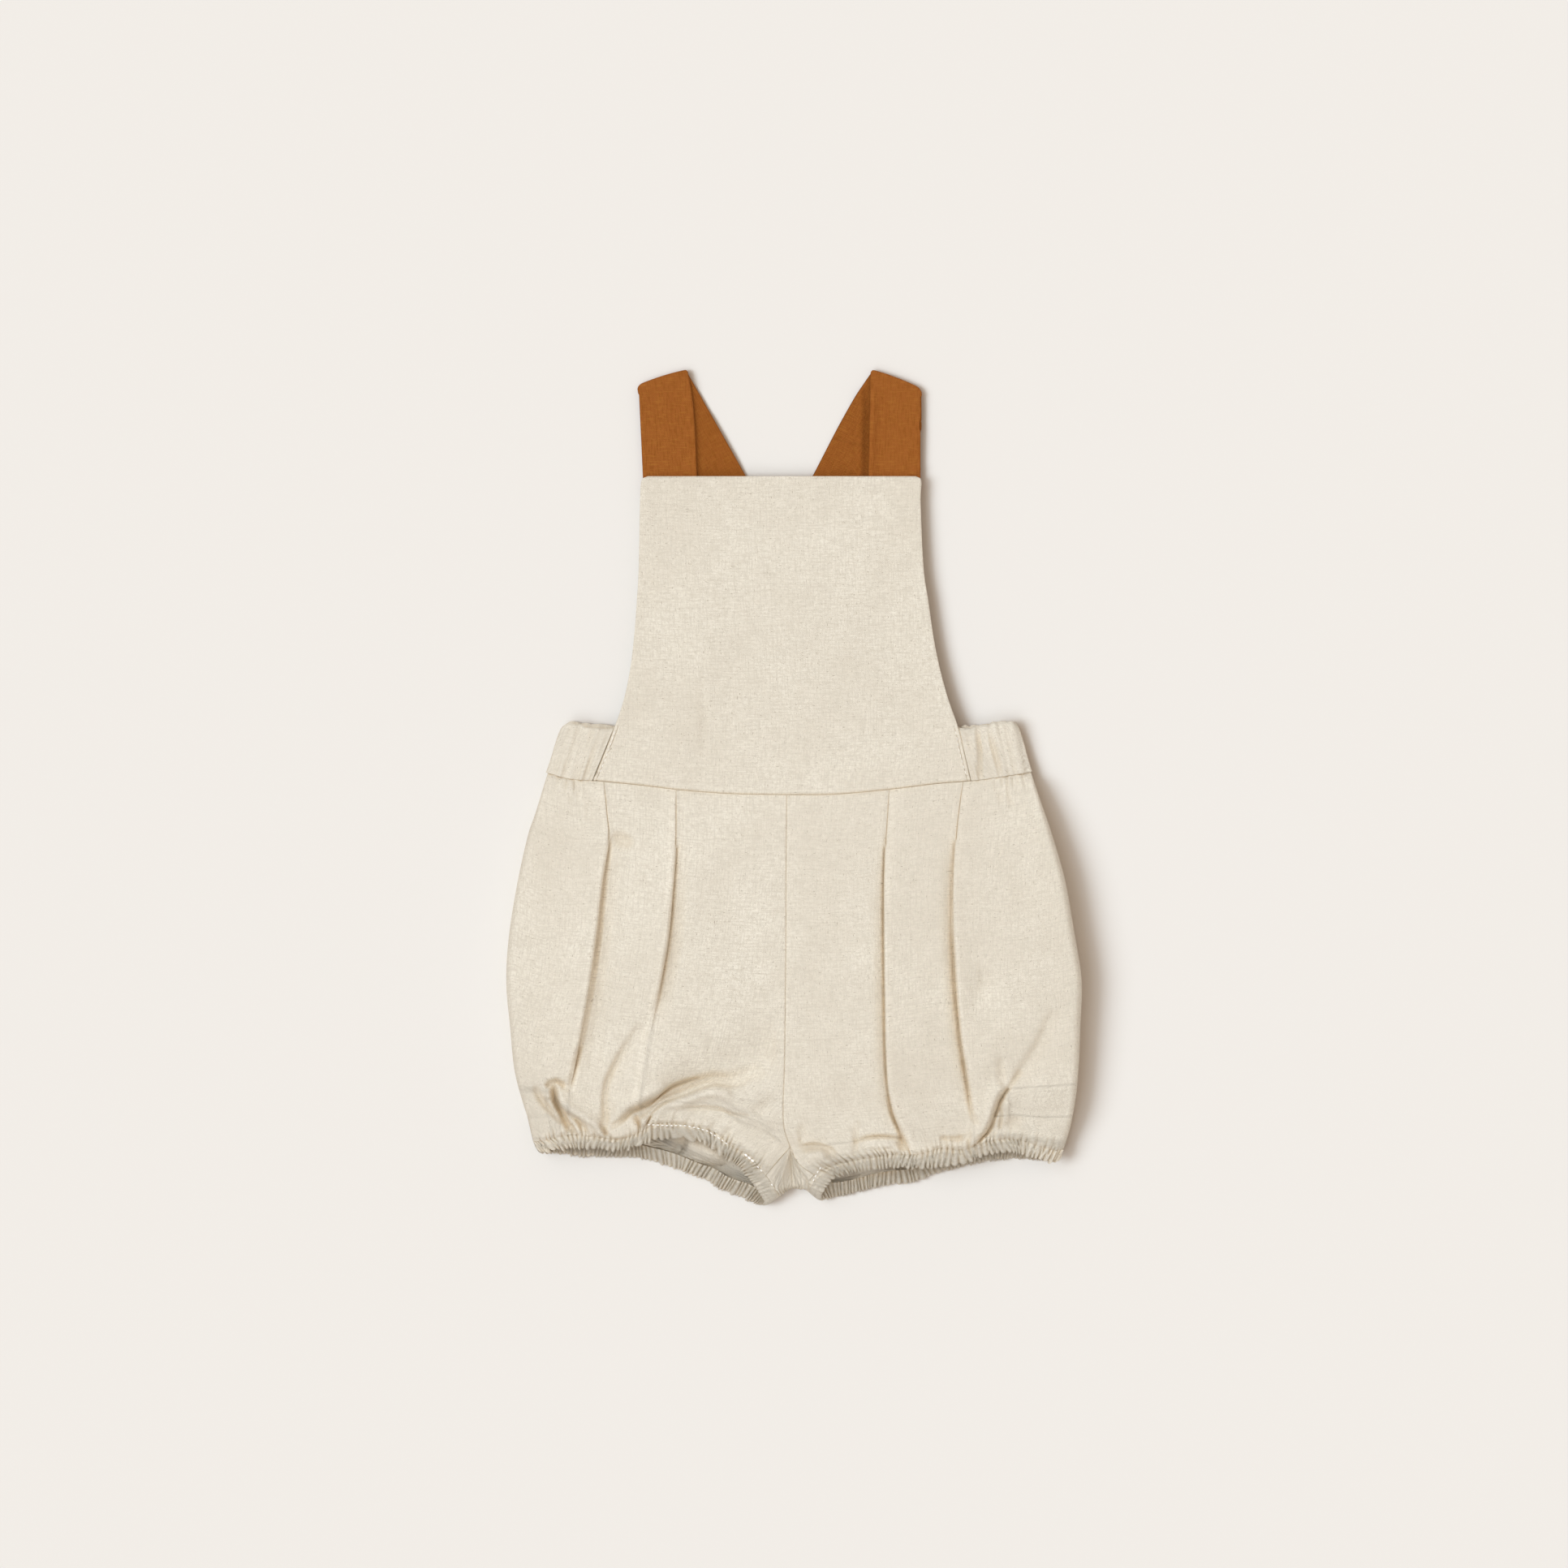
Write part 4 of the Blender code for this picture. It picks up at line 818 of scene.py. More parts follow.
def band_top(x, side):
    """How high the middle of a front may be under the waist casing, at each place along it."""
    ends = slice(0, WAIST_LEFT_SIDE + 1) if side < 0 else slice(WAIST_RIGHT_SIDE, None)
    low, high = WAISTBAND["low_x"][ends], WAISTBAND["z"][ends] + CASING / 2 - BAND_OVER
    order = np.argsort(low)
    return np.interp(x, low[order], high[order])


def unfolded(grid):
    """The front with each pleat pulled straight, to lay the weave over."""
    flat = grid.copy()
    start = len(FRONT_ROLL)
    for columns in FRONT_COLUMNS[:2]:
        fold = slice(start + columns - 2, start + columns - 2 + len(PLEAT["away"]))
        share = np.linspace(0, 1, len(PLEAT["away"]))[None, :, None]
        first, last = grid[:, fold.start, None], grid[:, fold.stop - 1, None]
        flat[:, fold] = first + share * (last - first)
        start = fold.stop
    return flat


def front_rows(rows, turn, at, opens, side, thickness):
    """A front before its creases and gathers: rolled over at the side, folded at its pleats."""
    level = between(rows, at)
    rails = [points(level, f"{name}_x", f"{name}_y", f"{name}_z") for name in PLEATED]
    rails.append(offset_line(centre_line(rows, turn, at), -side * HALF))
    grid = []
    for row, rail in enumerate(np.stack(rails, axis=1)):
        spans = np.linalg.norm(np.diff(rail[:, :2], axis=0), axis=1)
        roll = ROLL_SHARE * level["roll"][row] / spans[0]
        folds = [pleat_across(at[row], limits) for limits in opens]
        pleats = [
            k + 1 - away / np.where(away > 0, spans[k], spans[k + 1])
            for k, (away, _, _) in enumerate(folds)
        ]
        u = np.concatenate(
            [
                roll * (1 - np.cos(FRONT_ROLL)),
                np.linspace(roll, pleats[0][0], FRONT_COLUMNS[0])[1:-1],
                pleats[0],
                np.linspace(pleats[0][-1], pleats[1][0], FRONT_COLUMNS[1])[1:-1],
                pleats[1],
                np.linspace(pleats[1][-1], 3, FRONT_COLUMNS[2])[1:],
            ]
        )
        line = smooth(u, range(4), rail)
        tilt = np.append(FRONT_ROLL, np.full(len(u) - len(FRONT_ROLL), np.pi / 2))
        edge = level["edge"][row] + HALF
        line[:, 2] = edge + (line[:, 2] - edge) * np.sin(tilt)
        outward = unit(np.append(rail[0, :2] - rail[1, :2], 0))
        normal = np.cos(tilt)[:, None] * outward + np.sin(tilt)[:, None] * np.array([0, 0, 1])
        line -= normal * thickness / 2
        start = len(FRONT_ROLL)
        for k, (_, height, step) in enumerate(folds):
            before = slice(start, start + FRONT_COLUMNS[k] - 2)
            start = before.stop + len(height)
            line[before, 2] += step * np.clip(u[before] - k, 0, 1) ** 2
            top = np.ones(len(height))
            top[:TOP_LAYER] = np.clip(pleats[k][:TOP_LAYER] - k, 0, 1) ** 2
            line[before.stop : start, 2] += height * top
        grid.append(line)
    return np.array(grid)


def from_centre(grid):
    """How far each point of a front is from the last in its row, in plan."""
    return np.linalg.norm(grid[:, -1:, :2] - grid[..., :2], axis=2)


def front_grid(rows, turn, stations, creases, opens, side, thickness, seed):
    """A front with its pleats, creases, gathers and puckers."""
    grid = front_rows(rows, turn, rows_between(FRONT_SPLIT), opens, side, thickness)
    rise = CREASE_GAIN * creased(grid[..., :2], creases) * ease(from_centre(grid), 0, CREASE_FADE)
    grid[..., 2] += rise * np.clip(np.arange(len(grid)) / CREASE_ROWS, 0, 1)[:, None]
    hem, run = hem_line(stations, side, 0, thickness)
    grid, run = meet_hem(grid, hem, run, ROWS_FINER)
    away = above_hem(grid)
    drawn = gather_run(run, side)[None]
    small = gathers_up(drawn, away, FRONT_PITCH, SMALL_REACH, seed, *CUFF_SHAPE)
    small = small - HEM_DIP * np.exp(-((away / HEM_DIP_REACH) ** 2))
    broad = gathers_up(run[None] + BROAD_SLANT * away, away, BROAD_PITCH, BROAD_REACH, seed + 10)
    rolled = np.minimum(np.arange(grid.shape[1]) / len(FRONT_ROLL), 1)
    rolled = rolled * gather_share(run, run[-1])[None]
    rise = CUFF_GATHER * small + BROAD_HEIGHT * broad * ease(away, 0, BROAD_START)
    grid[..., 2] += rise * rolled
    waist = waist_seam_at(grid[0, :, 0]) - HALF
    down = np.linalg.norm(grid[..., :2] - grid[:1, :, :2], axis=2)
    places = grid[:1, :, 0] + RUN_START
    puckers = gathers_up(places, down, PUCKER_PITCH, PUCKER_REACH, seed + 20)
    puckers = puckers - PUCKER_DIP * np.exp(-((down / PUCKER_DIP_REACH) ** 2))
    beside = np.exp(-(((np.abs(grid[..., 0]) - PUCKER_X) / PUCKER_SPREAD) ** 2))
    puckers = PUCKER_HEIGHT * puckers * beside * ease(down, 0, PUCKER_START)
    grid[..., 2] += puckers - WAIST_GROOVE * (1 - ease(down, 0, WAIST_GROOVE_REACH))
    grid[..., 2] -= CENTRE_GROOVE * (1 - ease(from_centre(grid), 0, CENTRE_GROOVE_REACH))
    grid[0, :, 1] = waist
    too_high = np.maximum(grid[:1, :, 2] - band_top(grid[:1, :, 0], side), 0)
    grid[..., 2] -= too_high * (1 - ease(down, 0, BAND_REACH))
    return tight_ends(grid)


# ---------------------------------------------------------------- bloomers, back

# The back's rows by their place in the front's table: flat ones, ones that start to turn up at
# the crotch and ones that end at the crotch seams.
BACK_LEVELS = np.array([0, 1, 2, 3, 4, 5, 6, 6.9, 7.6, 8.1, 8.5])
BACK_ROLL_LEVELS = np.array([8.75, 8.9, 9.05])
BACK_ROLLS = ((0.4, 0.6, 0.8), (-50, 0, 50))  # where each leaves the floor and how far it climbs
FLOOR = 1e-6  # a point lower than this lies on the surface
ROW_STEP = 0.2  # least distance between two rows on the surface
FOLD_MARGIN = 10.0  # of the hem next to its fold, where the rows keep their own line
BACK_TURN_ROWS = np.array([0, 0.75, 1.5, 2.25, 3, 3.5, 4, 4.5, 5])  # of the turn table
BACK_TURN_LEVELS = np.linspace(9.2, 10, len(BACK_TURN_ROWS))
BACK_SIDE_ROLL = np.radians([0, 22, 45, 68, 90])
BACK_SIDE_REACH = 6.0  # how far in the back rounds down to the floor
# Columns before a row's end, in millimetres
BACK_TAIL = np.array([62, 54, 47, 41, 36, 31, 26.5, 22.5, 19, 16, 13.5, 11, 8.5, 6, 3, 0])
BACK_MIDDLE_COLUMNS = 12
BACK_FINER = 5
SIDE_POINTS = 12  # of a row's dense line round the side
FLOOR_POINTS = 80
TOP_POINTS = 30
ROLL_POINTS = 12  # round the crotch fold, where a row only starts to turn up
TURN_POINTS = 24

# Gathers of the back from the leg's casing, small and broad, and from the waist: the pitch, how
# far they reach and how high they are
BACK_SMALL = (3.0, (6, 18), 0.8)
BACK_BROAD = (11.0, (14, 40), 1.2)
BACK_BROAD_SLANT = 0.1
BACK_WAIST = (4.0, (8, 40), 1.0)
BACK_LIFT_REACH = 2  # how far above the hem these and the folds are at their full height

# Soft folds of the back that lift it off the surface, as creased() takes them.
BACK_CREASES = (
    (3.2, 9, 0, (-96, -180), (-78, -188), (-66, -192)),
    (6, 7.5, 0, (-66, -180), (-54, -190), (-44, -196), (-30, -200)),
    (-3.6, 2.4, 0.3, (-50, -178), (-56.7, -188), (-62.8, -198.6), (-67, -206)),
    (-3, 3, 0, (-60, -206), (-46, -205.5), (-30, -207)),
    (4.6, 3.6, 0, (30, -210.5), (38, -206), (46, -204), (56, -207.5)),
    (5, 6.5, 0, (14, -200), (26, -202), (44, -200), (62, -197), (84, -190)),
    (1.6, 5, 0, (-120, -40), (-108, -80), (-112, -120)),
    (1.2, 4, 0, (-70, -60), (-62, -95), (-74, -130)),
    (1.8, 6, 0, (-30, -150), (-60, -165), (-92, -172)),
    (1.4, 4.5, 0, (-18, -60), (-30, -95), (-24, -132)),
    (1.5, 5, 0, (118, -30), (104, -75), (112, -118)),
    (1.2, 4, 0, (62, -70), (72, -104), (60, -140)),
    (1.8, 6, 0, (26, -152), (60, -170), (96, -174)),
    (1.3, 4.5, 0, (22, -48), (16, -88), (26, -128)),
)
CENTRE_BACK = table(
    "level x y",
    (0, -3.7, -4.8),
    (3, -4.1, -60),
    (5, -4.4, -112),
    (7, -3, -168),
    (8, -1.6, -200),
    (8.4, -1, -211),
)


def round_fold(shape, angles):
    """Points round the crotch fold and their outward directions. shape holds the fold's place,
    heading and radius, each one value or one at each angle."""
    heading = np.radians(shape["heading"]) + 0 * angles
    level = np.stack([np.cos(heading), np.sin(heading), 0 * heading], axis=1)
    up = np.array([0.0, 0.0, 1.0])
    out = np.cos(angles)[:, None] * level + np.sin(angles)[:, None] * up
    edge = np.stack([shape[key] + 0 * angles for key in ("fold_x", "fold_y", "radius")], axis=1)
    return edge + edge[:, 2:] * (out - level), out


def stretch_floor(lines, hem):
    """Stretches the rows on the floor along the garment, for the last to follow the hem, and
    keeps each a step above the next."""
    last = lines[-1][0]
    last = last[last[:, 2] < FLOOR]
    hem = hem[hem[:, 2] < FLOOR]
    hem = hem[np.abs(hem[:, 0] - last[-1, 0]) > FOLD_MARGIN]
    inward = np.sign(last[-1, 0] - last[0, 0])
    straight = np.interp(inward * hem[:, 0], inward * last[:, 0], last[:, 1])
    x = np.append(hem[:, 0], last[-1, 0])
    ratio = np.append(hem[:, 1] / straight, 1.0)
    order = np.argsort(inward * x)
    for line, _ in lines:
        low = line[:, 2] < FLOOR
        line[low, 1] *= np.interp(inward * line[low, 0], inward * x[order], ratio[order])
    for (line, _), (below, _) in zip(lines[-2::-1], lines[:0:-1]):
        low = line[:, 2] < FLOOR
        below = below[below[:, 2] < FLOOR]
        limit = np.interp(inward * line[low, 0], inward * below[:, 0], below[:, 1])
        line[low, 1] = np.maximum(line[low, 1], limit + ROW_STEP)


def back_row(side_point, floor_end, folded=None, top_end=None):
    """One row of the back as a dense line with outward directions: round the side, along the
    floor, and where it is folded, round the crotch fold and along the top."""
    across = unit(np.append((floor_end - side_point)[:2], 0))
    tilt = np.linspace(0, np.pi / 2, SIDE_POINTS)
    drop = side_point + np.outer(BACK_SIDE_REACH * (1 - np.cos(tilt)), across)
    drop[:, 2] = side_point[2] * (1 - np.sin(tilt))
    drop_out = -np.outer(np.cos(tilt), across) - np.outer(np.sin(tilt), (0, 0, 1))
    along = np.linspace(0, 1, FLOOR_POINTS)[1:, None]
    start = drop[-1]
    floor = start + along * (np.append(floor_end[:2], 0) - start)
    parts = [drop, floor]
    outs = [drop_out, np.tile((0.0, 0.0, -1.0), (len(floor), 1))]
    if folded is not None:
        parts.append(folded[0][1:])
        outs.append(folded[1][1:])
    if top_end is not None:
        along = np.linspace(0, 1, TOP_POINTS)[1:, None]
        top = parts[-1][-1] + along * (top_end - parts[-1][-1])
        parts.append(top)
        outs.append(np.tile((0.0, 0.0, 1.0), (len(top), 1)))
    return np.concatenate(parts), np.concatenate(outs)


def back_columns(line, out):
    """A row's points at its columns: close at the side, then spread, then close at the end."""
    run = lengths(line)
    tail = run[-1] - BACK_TAIL
    side_end = lengths(line[:SIDE_POINTS])[-1]
    first = side_end * BACK_SIDE_ROLL / (np.pi / 2)
    middle = np.linspace(side_end, tail[0], BACK_MIDDLE_COLUMNS + 2)[1:-1]
    at = np.concatenate([first, middle, tail])
    grid = np.stack([np.interp(at, run, line[:, k]) for k in range(3)], axis=-1)
    facing = np.stack([np.interp(at, run, out[:, k]) for k in range(3)], axis=-1)
    return grid, unit(facing)


def back_grid(rows, turn, stations, side, thickness, seed):
    """A back: along the floor, turned up round the crotch fold, with its gathers and folds."""
    table_rows = range(len(rows["edge"]))

    def side_at(level):
        """The side seam's place at a level, just under the front."""
        point = smooth(level, table_rows, points(rows, "side_x", "side_y", "edge"))
        return point - (0, 0, HALF)

    centre_fold = dict(CENTRE_FOLD, fold_x=CENTRE_FOLD["fold_x"] + side * HALF)
    lines = []
    for level in BACK_LEVELS:
        x, y = smooth(level, CENTRE_BACK["level"], points(CENTRE_BACK, "x", "y"))
        lines.append(back_row(side_at(level), np.array([x + side * HALF, y, 0])))
    for level, away, reach in zip(BACK_ROLL_LEVELS, *BACK_ROLLS):
        share = np.linspace(away, 0, ROLL_POINTS)
        shape = {
            key: centre + share * (turn[key][0] - centre) for key, centre in centre_fold.items()
        }
        folded = round_fold(shape, np.radians(np.linspace(-90, reach, ROLL_POINTS)))
        lines.append(back_row(side_at(level), folded[0][0], folded))
    bend = between(turn, BACK_TURN_ROWS)
    past_crotch = (BACK_TURN_ROWS - CROTCH_TURN) / (len(turn["radius"]) - 1 - CROTCH_TURN)
    ends = points(bend, "end_x", "end_y", "end_z")
    leg = inseam(turn, np.clip(past_crotch, 0, 1))
    ends = offset_line(np.where((past_crotch > 0)[:, None], leg, ends), side * HALF)
    for i, level in enumerate(BACK_TURN_LEVELS):
        shape = {key: values[i] for key, values in bend.items()}
        folded = round_fold(shape, np.radians(np.linspace(-90, 90, TURN_POINTS)))
        lines.append(back_row(side_at(level), folded[0][0], folded, ends[i]))
    hem, _ = hem_line(stations, side, len(stations["z"]), 0)
    stretch_floor(lines, hem)
    outer, facing = (np.array(part) for part in zip(*(back_columns(*line) for line in lines)))
    hem, run = hem_line(stations, side, len(stations["z"]), thickness)
    grid, run = meet_hem(outer - facing * thickness / 2, hem, run)
    grid[0, :, 1] = waist_seam_at(grid[0, :, 0]) - HALF
    lift = resampled(np.clip(facing[..., 2:], -1, 0), BACK_FINER)[..., 0]
    steps = len(run) - 1
    run = np.interp(np.linspace(0, steps, BACK_FINER * steps + 1), range(steps + 1), run)
    fine = resampled(grid, BACK_FINER)
    away = above_hem(fine)
    down = fine[:1, :, 1] - fine[..., 1]
    rise = 0
    for k, (places, distance, (pitch, reach, height)) in enumerate(
        (
            (run[None], away, BACK_SMALL),
            (run[None] + BACK_BROAD_SLANT * away, away, BACK_BROAD),
            (fine[:1, :, 0] + RUN_START, down, BACK_WAIST),
        )
    ):
        rise = rise + height * gathers_up(places, distance, pitch, reach, seed + 10 * k)
    rise = rise + creased(fine[..., :2], BACK_CREASES)
    fine[..., 2] += rise * lift**2 * ease(away, 0, BACK_LIFT_REACH)
    fine[..., 2] = np.maximum(fine[..., 2], thickness / 2)
    return fine


# ---------------------------------------------------------------- casings

# A casing's section across its width: how far from its gathered edge, how thick, and how much
# of the gathers shows there.
SECTION = table(
    "across thick gathers",
    (0, 0.96, 1),
    (0.02, 0.97, 1),
    (0.13, 0.98, 1),
    (0.24, 0.98, 1),
    (0.38, 1, 1),
    (0.54, 1, 1),
    (0.7, 0.94, 1),
    (0.84, 0.8, 1),
    (0.94, 0.56, 0.85),
    (1, 0.22, 0.6),
)
CUFF_STEP = 0.28  # from one section to the next
CUFF_GATHER = 2.7  # how high its gathers are
CUFF_SCALLOP = 5.0  # how far its free edge moves in and out with them
BACK_SCALLOP = 0.8  # of the front's
CUFF_SLANTS = ((3.4, 15.0), (1.0, 3.7), (0.4, 1.9))  # how far the gathers slant, over what run
BACK_SLANT = 0.6  # of the front's
EDGE_CHANGE = (0.2, 0.7)  # where the leg edge's gathers pass into those of the free edge
CUFF_SHAPE = (0.5, 0.45)  # how broad its gathers are on top, and how uneven
FRONT_PITCH = 2.5  # from one gather to the next, in front and behind
BACK_PITCH = 2.2


def casing_faces(near, far, out, upper, lower):
    """Closed sections round a casing. upper raises its outer face and lower its inner one, a
    column for each point across."""
    across = SECTION["across"][None, :, None]
    half = SECTION["thick"][None, :, None] * CASING / 2
    middle = near[:, None] + across * (far - near)[:, None]
    outer = middle + out[:, None] * (half + upper[..., None])
    inner = middle - out[:, None] * (half + lower[..., None])
    sections = np.concatenate([outer, inner[:, ::-1]], axis=1)
    sections[..., 2] = np.maximum(sections[..., 2], LOWEST)
    return sections


def cuff_grid(stations, side, seed):
    """A leg's casing, gathered on its outer face in front and on its inner one behind."""
    total = casing_run(stations, [len(stations["z"])])[0]
    at = np.linspace(0, len(stations["z"]), int(total / CUFF_STEP), endpoint=False)
    run = casing_run(stations, at)
    near, far, out = casing_line(stations, ("leg", "free"), at, True)
    out = -side * out
    near = near + unit(far - near) * HALF
    in_front = ease(at, -0.5, 0.5) * (1 - ease(at, INSEAM_STATION + 0.5, INSEAM_STATION + 2.0))
    front_end = casing_run(stations, [INSEAM_STATION])[0]
    share = SECTION["gathers"][None] * gather_share(run, front_end)[:, None]
    across = SECTION["across"][None]
    slant = sum(
        size * np.sin(run / length + start)
        for (size, length), start in zip(CUFF_SLANTS, (seed, 0, 0))
    )[:, None]
    slanted = gather_run(run, side)[:, None] + across * slant
    at_leg, _ = gathered(slanted, FRONT_PITCH, seed, *CUFF_SHAPE)
    at_edge, _ = gathered(slanted, FRONT_PITCH, seed + 7, *CUFF_SHAPE)
    front = at_leg + ease(across, *EDGE_CHANGE) * (at_edge - at_leg)
    slanted = run[:, None] - BACK_SLANT * across * slant
    back, _ = gathered(slanted, BACK_PITCH, seed + 5, *CUFF_SHAPE)
    upper = CUFF_GATHER * (front - 0.5) * share * in_front[:, None]
    lower = CUFF_GATHER * (back - 0.5) * share * (1 - in_front)[:, None]
    scallop = CUFF_SCALLOP * (front[:, -1] - 0.5) * in_front
    scallop += BACK_SCALLOP * CUFF_SCALLOP * (back[:, -1] - 0.5) * (1 - in_front)
    far = far + unit(far - near) * (scallop * share[:, -1])[:, None]
    return casing_faces(near, far, out, upper, lower)


WAIST_CREASES = (
    (-2, 1.3, 0.4, (99.4, 34), (99.2, 28), (100.6, 18), (100.2, 3)),
    (1, 1.6, 0, (96.8, 33), (97.8, 20), (98, 4)),
    (-1.2, 1.6, 0, (104.6, 29), (108.5, 16), (112.5, 5)),
    (0.8, 2.4, 0, (108, 33), (112.5, 18), (117, 5)),
    (-0.7, 2.2, 0, (-107.6, 34), (-108.8, 18), (-111.5, 3)),
    (-0.6, 1.8, 0, (-112, 34), (-115, 18), (-117.6, 5)),
    (0.5, 2.6, 0, (-103, 33), (-104.5, 18), (-106.5, 3)),
    (-0.5, 1.4, 0, (-121, 20), (-122.5, 12), (-124, 5)),
)
WAIST_STEP = 0.5  # from one section to the next
WAIST_SCALLOP = 1.3  # how far its free edge moves in and out
WAIST_CORNER = 2.6  # how far its corners at the two sides are rounded
WAIST_LUMPS = 9.0  # from one lump of its free edge to the next
WAIST_PITCH = 6.0  # from one gather to the next
WAIST_SLANT = 2.5  # how far they slant, over what run
WAIST_SLANT_RUN = 13.0
WAIST_TURN = 1.5  # stations over which its gathers pass from its outer face to its inner one
WAIST_GATHER = 1.1  # how high they are, outside and inside
WAIST_INNER_GATHER = 0.9


def waistband_grid(seed):
    """The waist's casing, gathered outside beside the bib and inside along the floor."""
    knots = lengths(middle_line(WAISTBAND, "top", "low"))
    run = np.linspace(0, knots[-1], int(knots[-1] / WAIST_STEP))
    at = np.interp(run, knots, range(len(knots)))
    top, low, out = casing_line(WAISTBAND, ("top", "low"), at, False)
    low[:, 1] = waist_seam_at(low[:, 0]) + HALF
    for station in (WAIST_LEFT_SIDE, WAIST_RIGHT_SIDE):
        past = (run - knots[station]) / WAIST_CORNER
        top -= unit(top - low) * (WAIST_CORNER * np.exp(-(past**2)))[:, None]
    lumps, _ = gathered(run, WAIST_LUMPS, seed + 3, 0.7)
    top += unit(top - low) * (WAIST_SCALLOP * (lumps - 0.6))[:, None]
    on_floor = ease(at, WAIST_LEFT_SIDE, WAIST_LEFT_SIDE + WAIST_TURN)
    on_floor = on_floor * (1 - ease(at, WAIST_RIGHT_SIDE - WAIST_TURN, WAIST_RIGHT_SIDE))
    on_floor = on_floor[:, None]
    across = SECTION["across"][None]
    slanted = run[:, None] + WAIST_SLANT * across * np.sin(run[:, None] / WAIST_SLANT_RUN)
    gathers, _ = gathered(slanted, WAIST_PITCH, seed, 1.4)
    edges = np.interp(SECTION["across"], (0, 0.4, 0.88, 1), (1.2, 0.8, 0.9, 0.5))[None]
    lowest = np.interp(SECTION["across"], (0, 0.3), (0.1, 0.4))[None]
    upper = WAIST_GATHER * (gathers - lowest) * edges * (1 - on_floor)
    lower = WAIST_INNER_GATHER * (gathers - 0.4) * edges * on_floor
    sections = casing_faces(low, top, -out, upper, lower)
    outer = sections[:, : len(SECTION["across"])]
    outer[..., 2] += creased(outer[..., :2], WAIST_CREASES) * (1 - on_floor)
    return sections


# ---------------------------------------------------------------- bib

BIB_EDGE_DROP = 0.4  # how much lower its sides lie than its middle
BIB_DRAWN = 0.6  # share of its rows above those that are drawn to the seam
BIB_TURNED = (36, 29)  # how far up the turned edges of its sides start to show and are full
# Ridges along its sides and its seam: how high each is, how far in, and how wide
SIDE_RIDGES = ((0.3, 0.8, 0.6), (-0.22, 1.9, 0.4))
SEAM_RIDGES = ((0.4, 1.4, 1.0), (-0.25, 4.0, 1.6))
BIB_THIN = 0.25  # share of its thickness at its edge
BIB_ROUND = 0.9  # how far in it is at its full thickness
BIB_SPLIT = (10, 16, 30, 16, 16, 13, 14, 14, 12, 14)
BIB_INSET = np.array([0, 0.12, 0.3, 0.6, 0.95, 1.3, 1.65, 2.0, 2.4, 2.9, 3.6, 4.6])
BIB_MIDDLE_COLUMNS = 96
BIB_CREASES = (
    (-1.3, 2.4, 0.3, (-50, 58), (-47.6, 38), (-48.4, 12)),
    (-0.5, 2, 0, (-44, 50), (-42.6, 34), (-43.4, 16)),
    (0.4, 14, 0, (-60, 150), (-52, 100), (-66, 40)),
    (-0.4, 16, 0, (-20, 160), (-14, 100), (-24, 30)),
    (0.45, 15, 0, (30, 150), (22, 90), (38, 24)),
    (-0.35, 8, 0, (52, 140), (58, 90), (62, 20)),
    (-0.5, 3.6, 0, (-80, 9), (-20, 2.5), (60, 6.5)),
)


def ridges(away, shapes):
    """How high the ridges and grooves along an edge stand, this far from it."""
    return sum(
        height * np.exp(-(((away - place) / width) ** 2)) for height, place, width in shapes
    )


def bib_grid(thickness):
    """The bib's middle, and the share of its thickness left towards its turned edges."""
    at = rows_between(BIB_SPLIT)
    level = between(BIB_ROWS, at)
    left, right = (edge_line(level, edge) for edge in ("left", "right"))
    width = (right - left)[:, 0]
    inset = BIB_INSET[None] / width[:, None]
    inner = np.linspace(inset[:, -1], 1 - inset[:, -1], BIB_MIDDLE_COLUMNS, axis=1)[:, 1:-1]
    across = np.concatenate([inset, inner, 1 - inset[:, ::-1]], axis=1)
    grid = left[:, None] + across[..., None] * (right - left)[:, None]
    to_seam = waist_seam_at(grid[-1, :, 0]) + HALF - grid[-1, :, 1]
    drawn = np.arange(len(at)) - BIB_DRAWN * len(at)
    share = np.clip(drawn / ((1 - BIB_DRAWN) * len(at) - 1), 0, 1) ** 2
    grid[..., 1] += share[:, None] * to_seam
    grid[..., 2] -= BIB_EDGE_DROP * (2 * across - 1) ** 4 + thickness / 2
    from_side = np.minimum(across, 1 - across) * width[:, None]
    from_top = grid[0, 0, 1] - grid[..., 1]
    from_seam = grid[..., 1] - grid[-1:, :, 1]
    grid[..., 2] += ridges(from_side, SIDE_RIDGES) * ease(grid[..., 1], *BIB_TURNED)
    grid[..., 2] += ridges(from_seam, SEAM_RIDGES)
    grid[..., 2] += creased(grid[..., :2], BIB_CREASES)
    edge = np.minimum(np.minimum(from_side, from_top), from_seam)
    return grid, BIB_THIN + (1 - BIB_THIN) * np.sqrt(np.clip(edge / BIB_ROUND, 0, 1))


# ---------------------------------------------------------------- straps

STRAP = 1.6  # thickness of the solid
STRAP_FRONT_Z = 2.8  # height of the middle of its front part
STRAP_BACK_Z = STRAP / 2
STRAP_LIFT = STRAP + 0.3  # how high the upper strap is raised where they cross
STRAP_LIFT_REACH = (36, 60)  # how far from there it is still fully raised, and back down
STRAP_ROWS = (64, 14, 150)  # on the front part, round the fold, on the back part
STRAP_INSET = np.array([0, 0.02, 0.045, 0.075, 0.11, 0.16])
STRAP_MIDDLE_COLUMNS = 14  # counted from the innermost of one inset to that of the other
STRAP_GAP = 0.3  # from its back end to the waist casing
STRAP_THIN = 0.4  # share of its thickness at its edges
STRAP_ROUND = 25  # its edges thin over one part in this many of its width
BOW_GAIN = 6.7  # brings the greatest bow to about 1
BACK_BOW_ENDS = 3  # the back part's bow ends a third of the way along
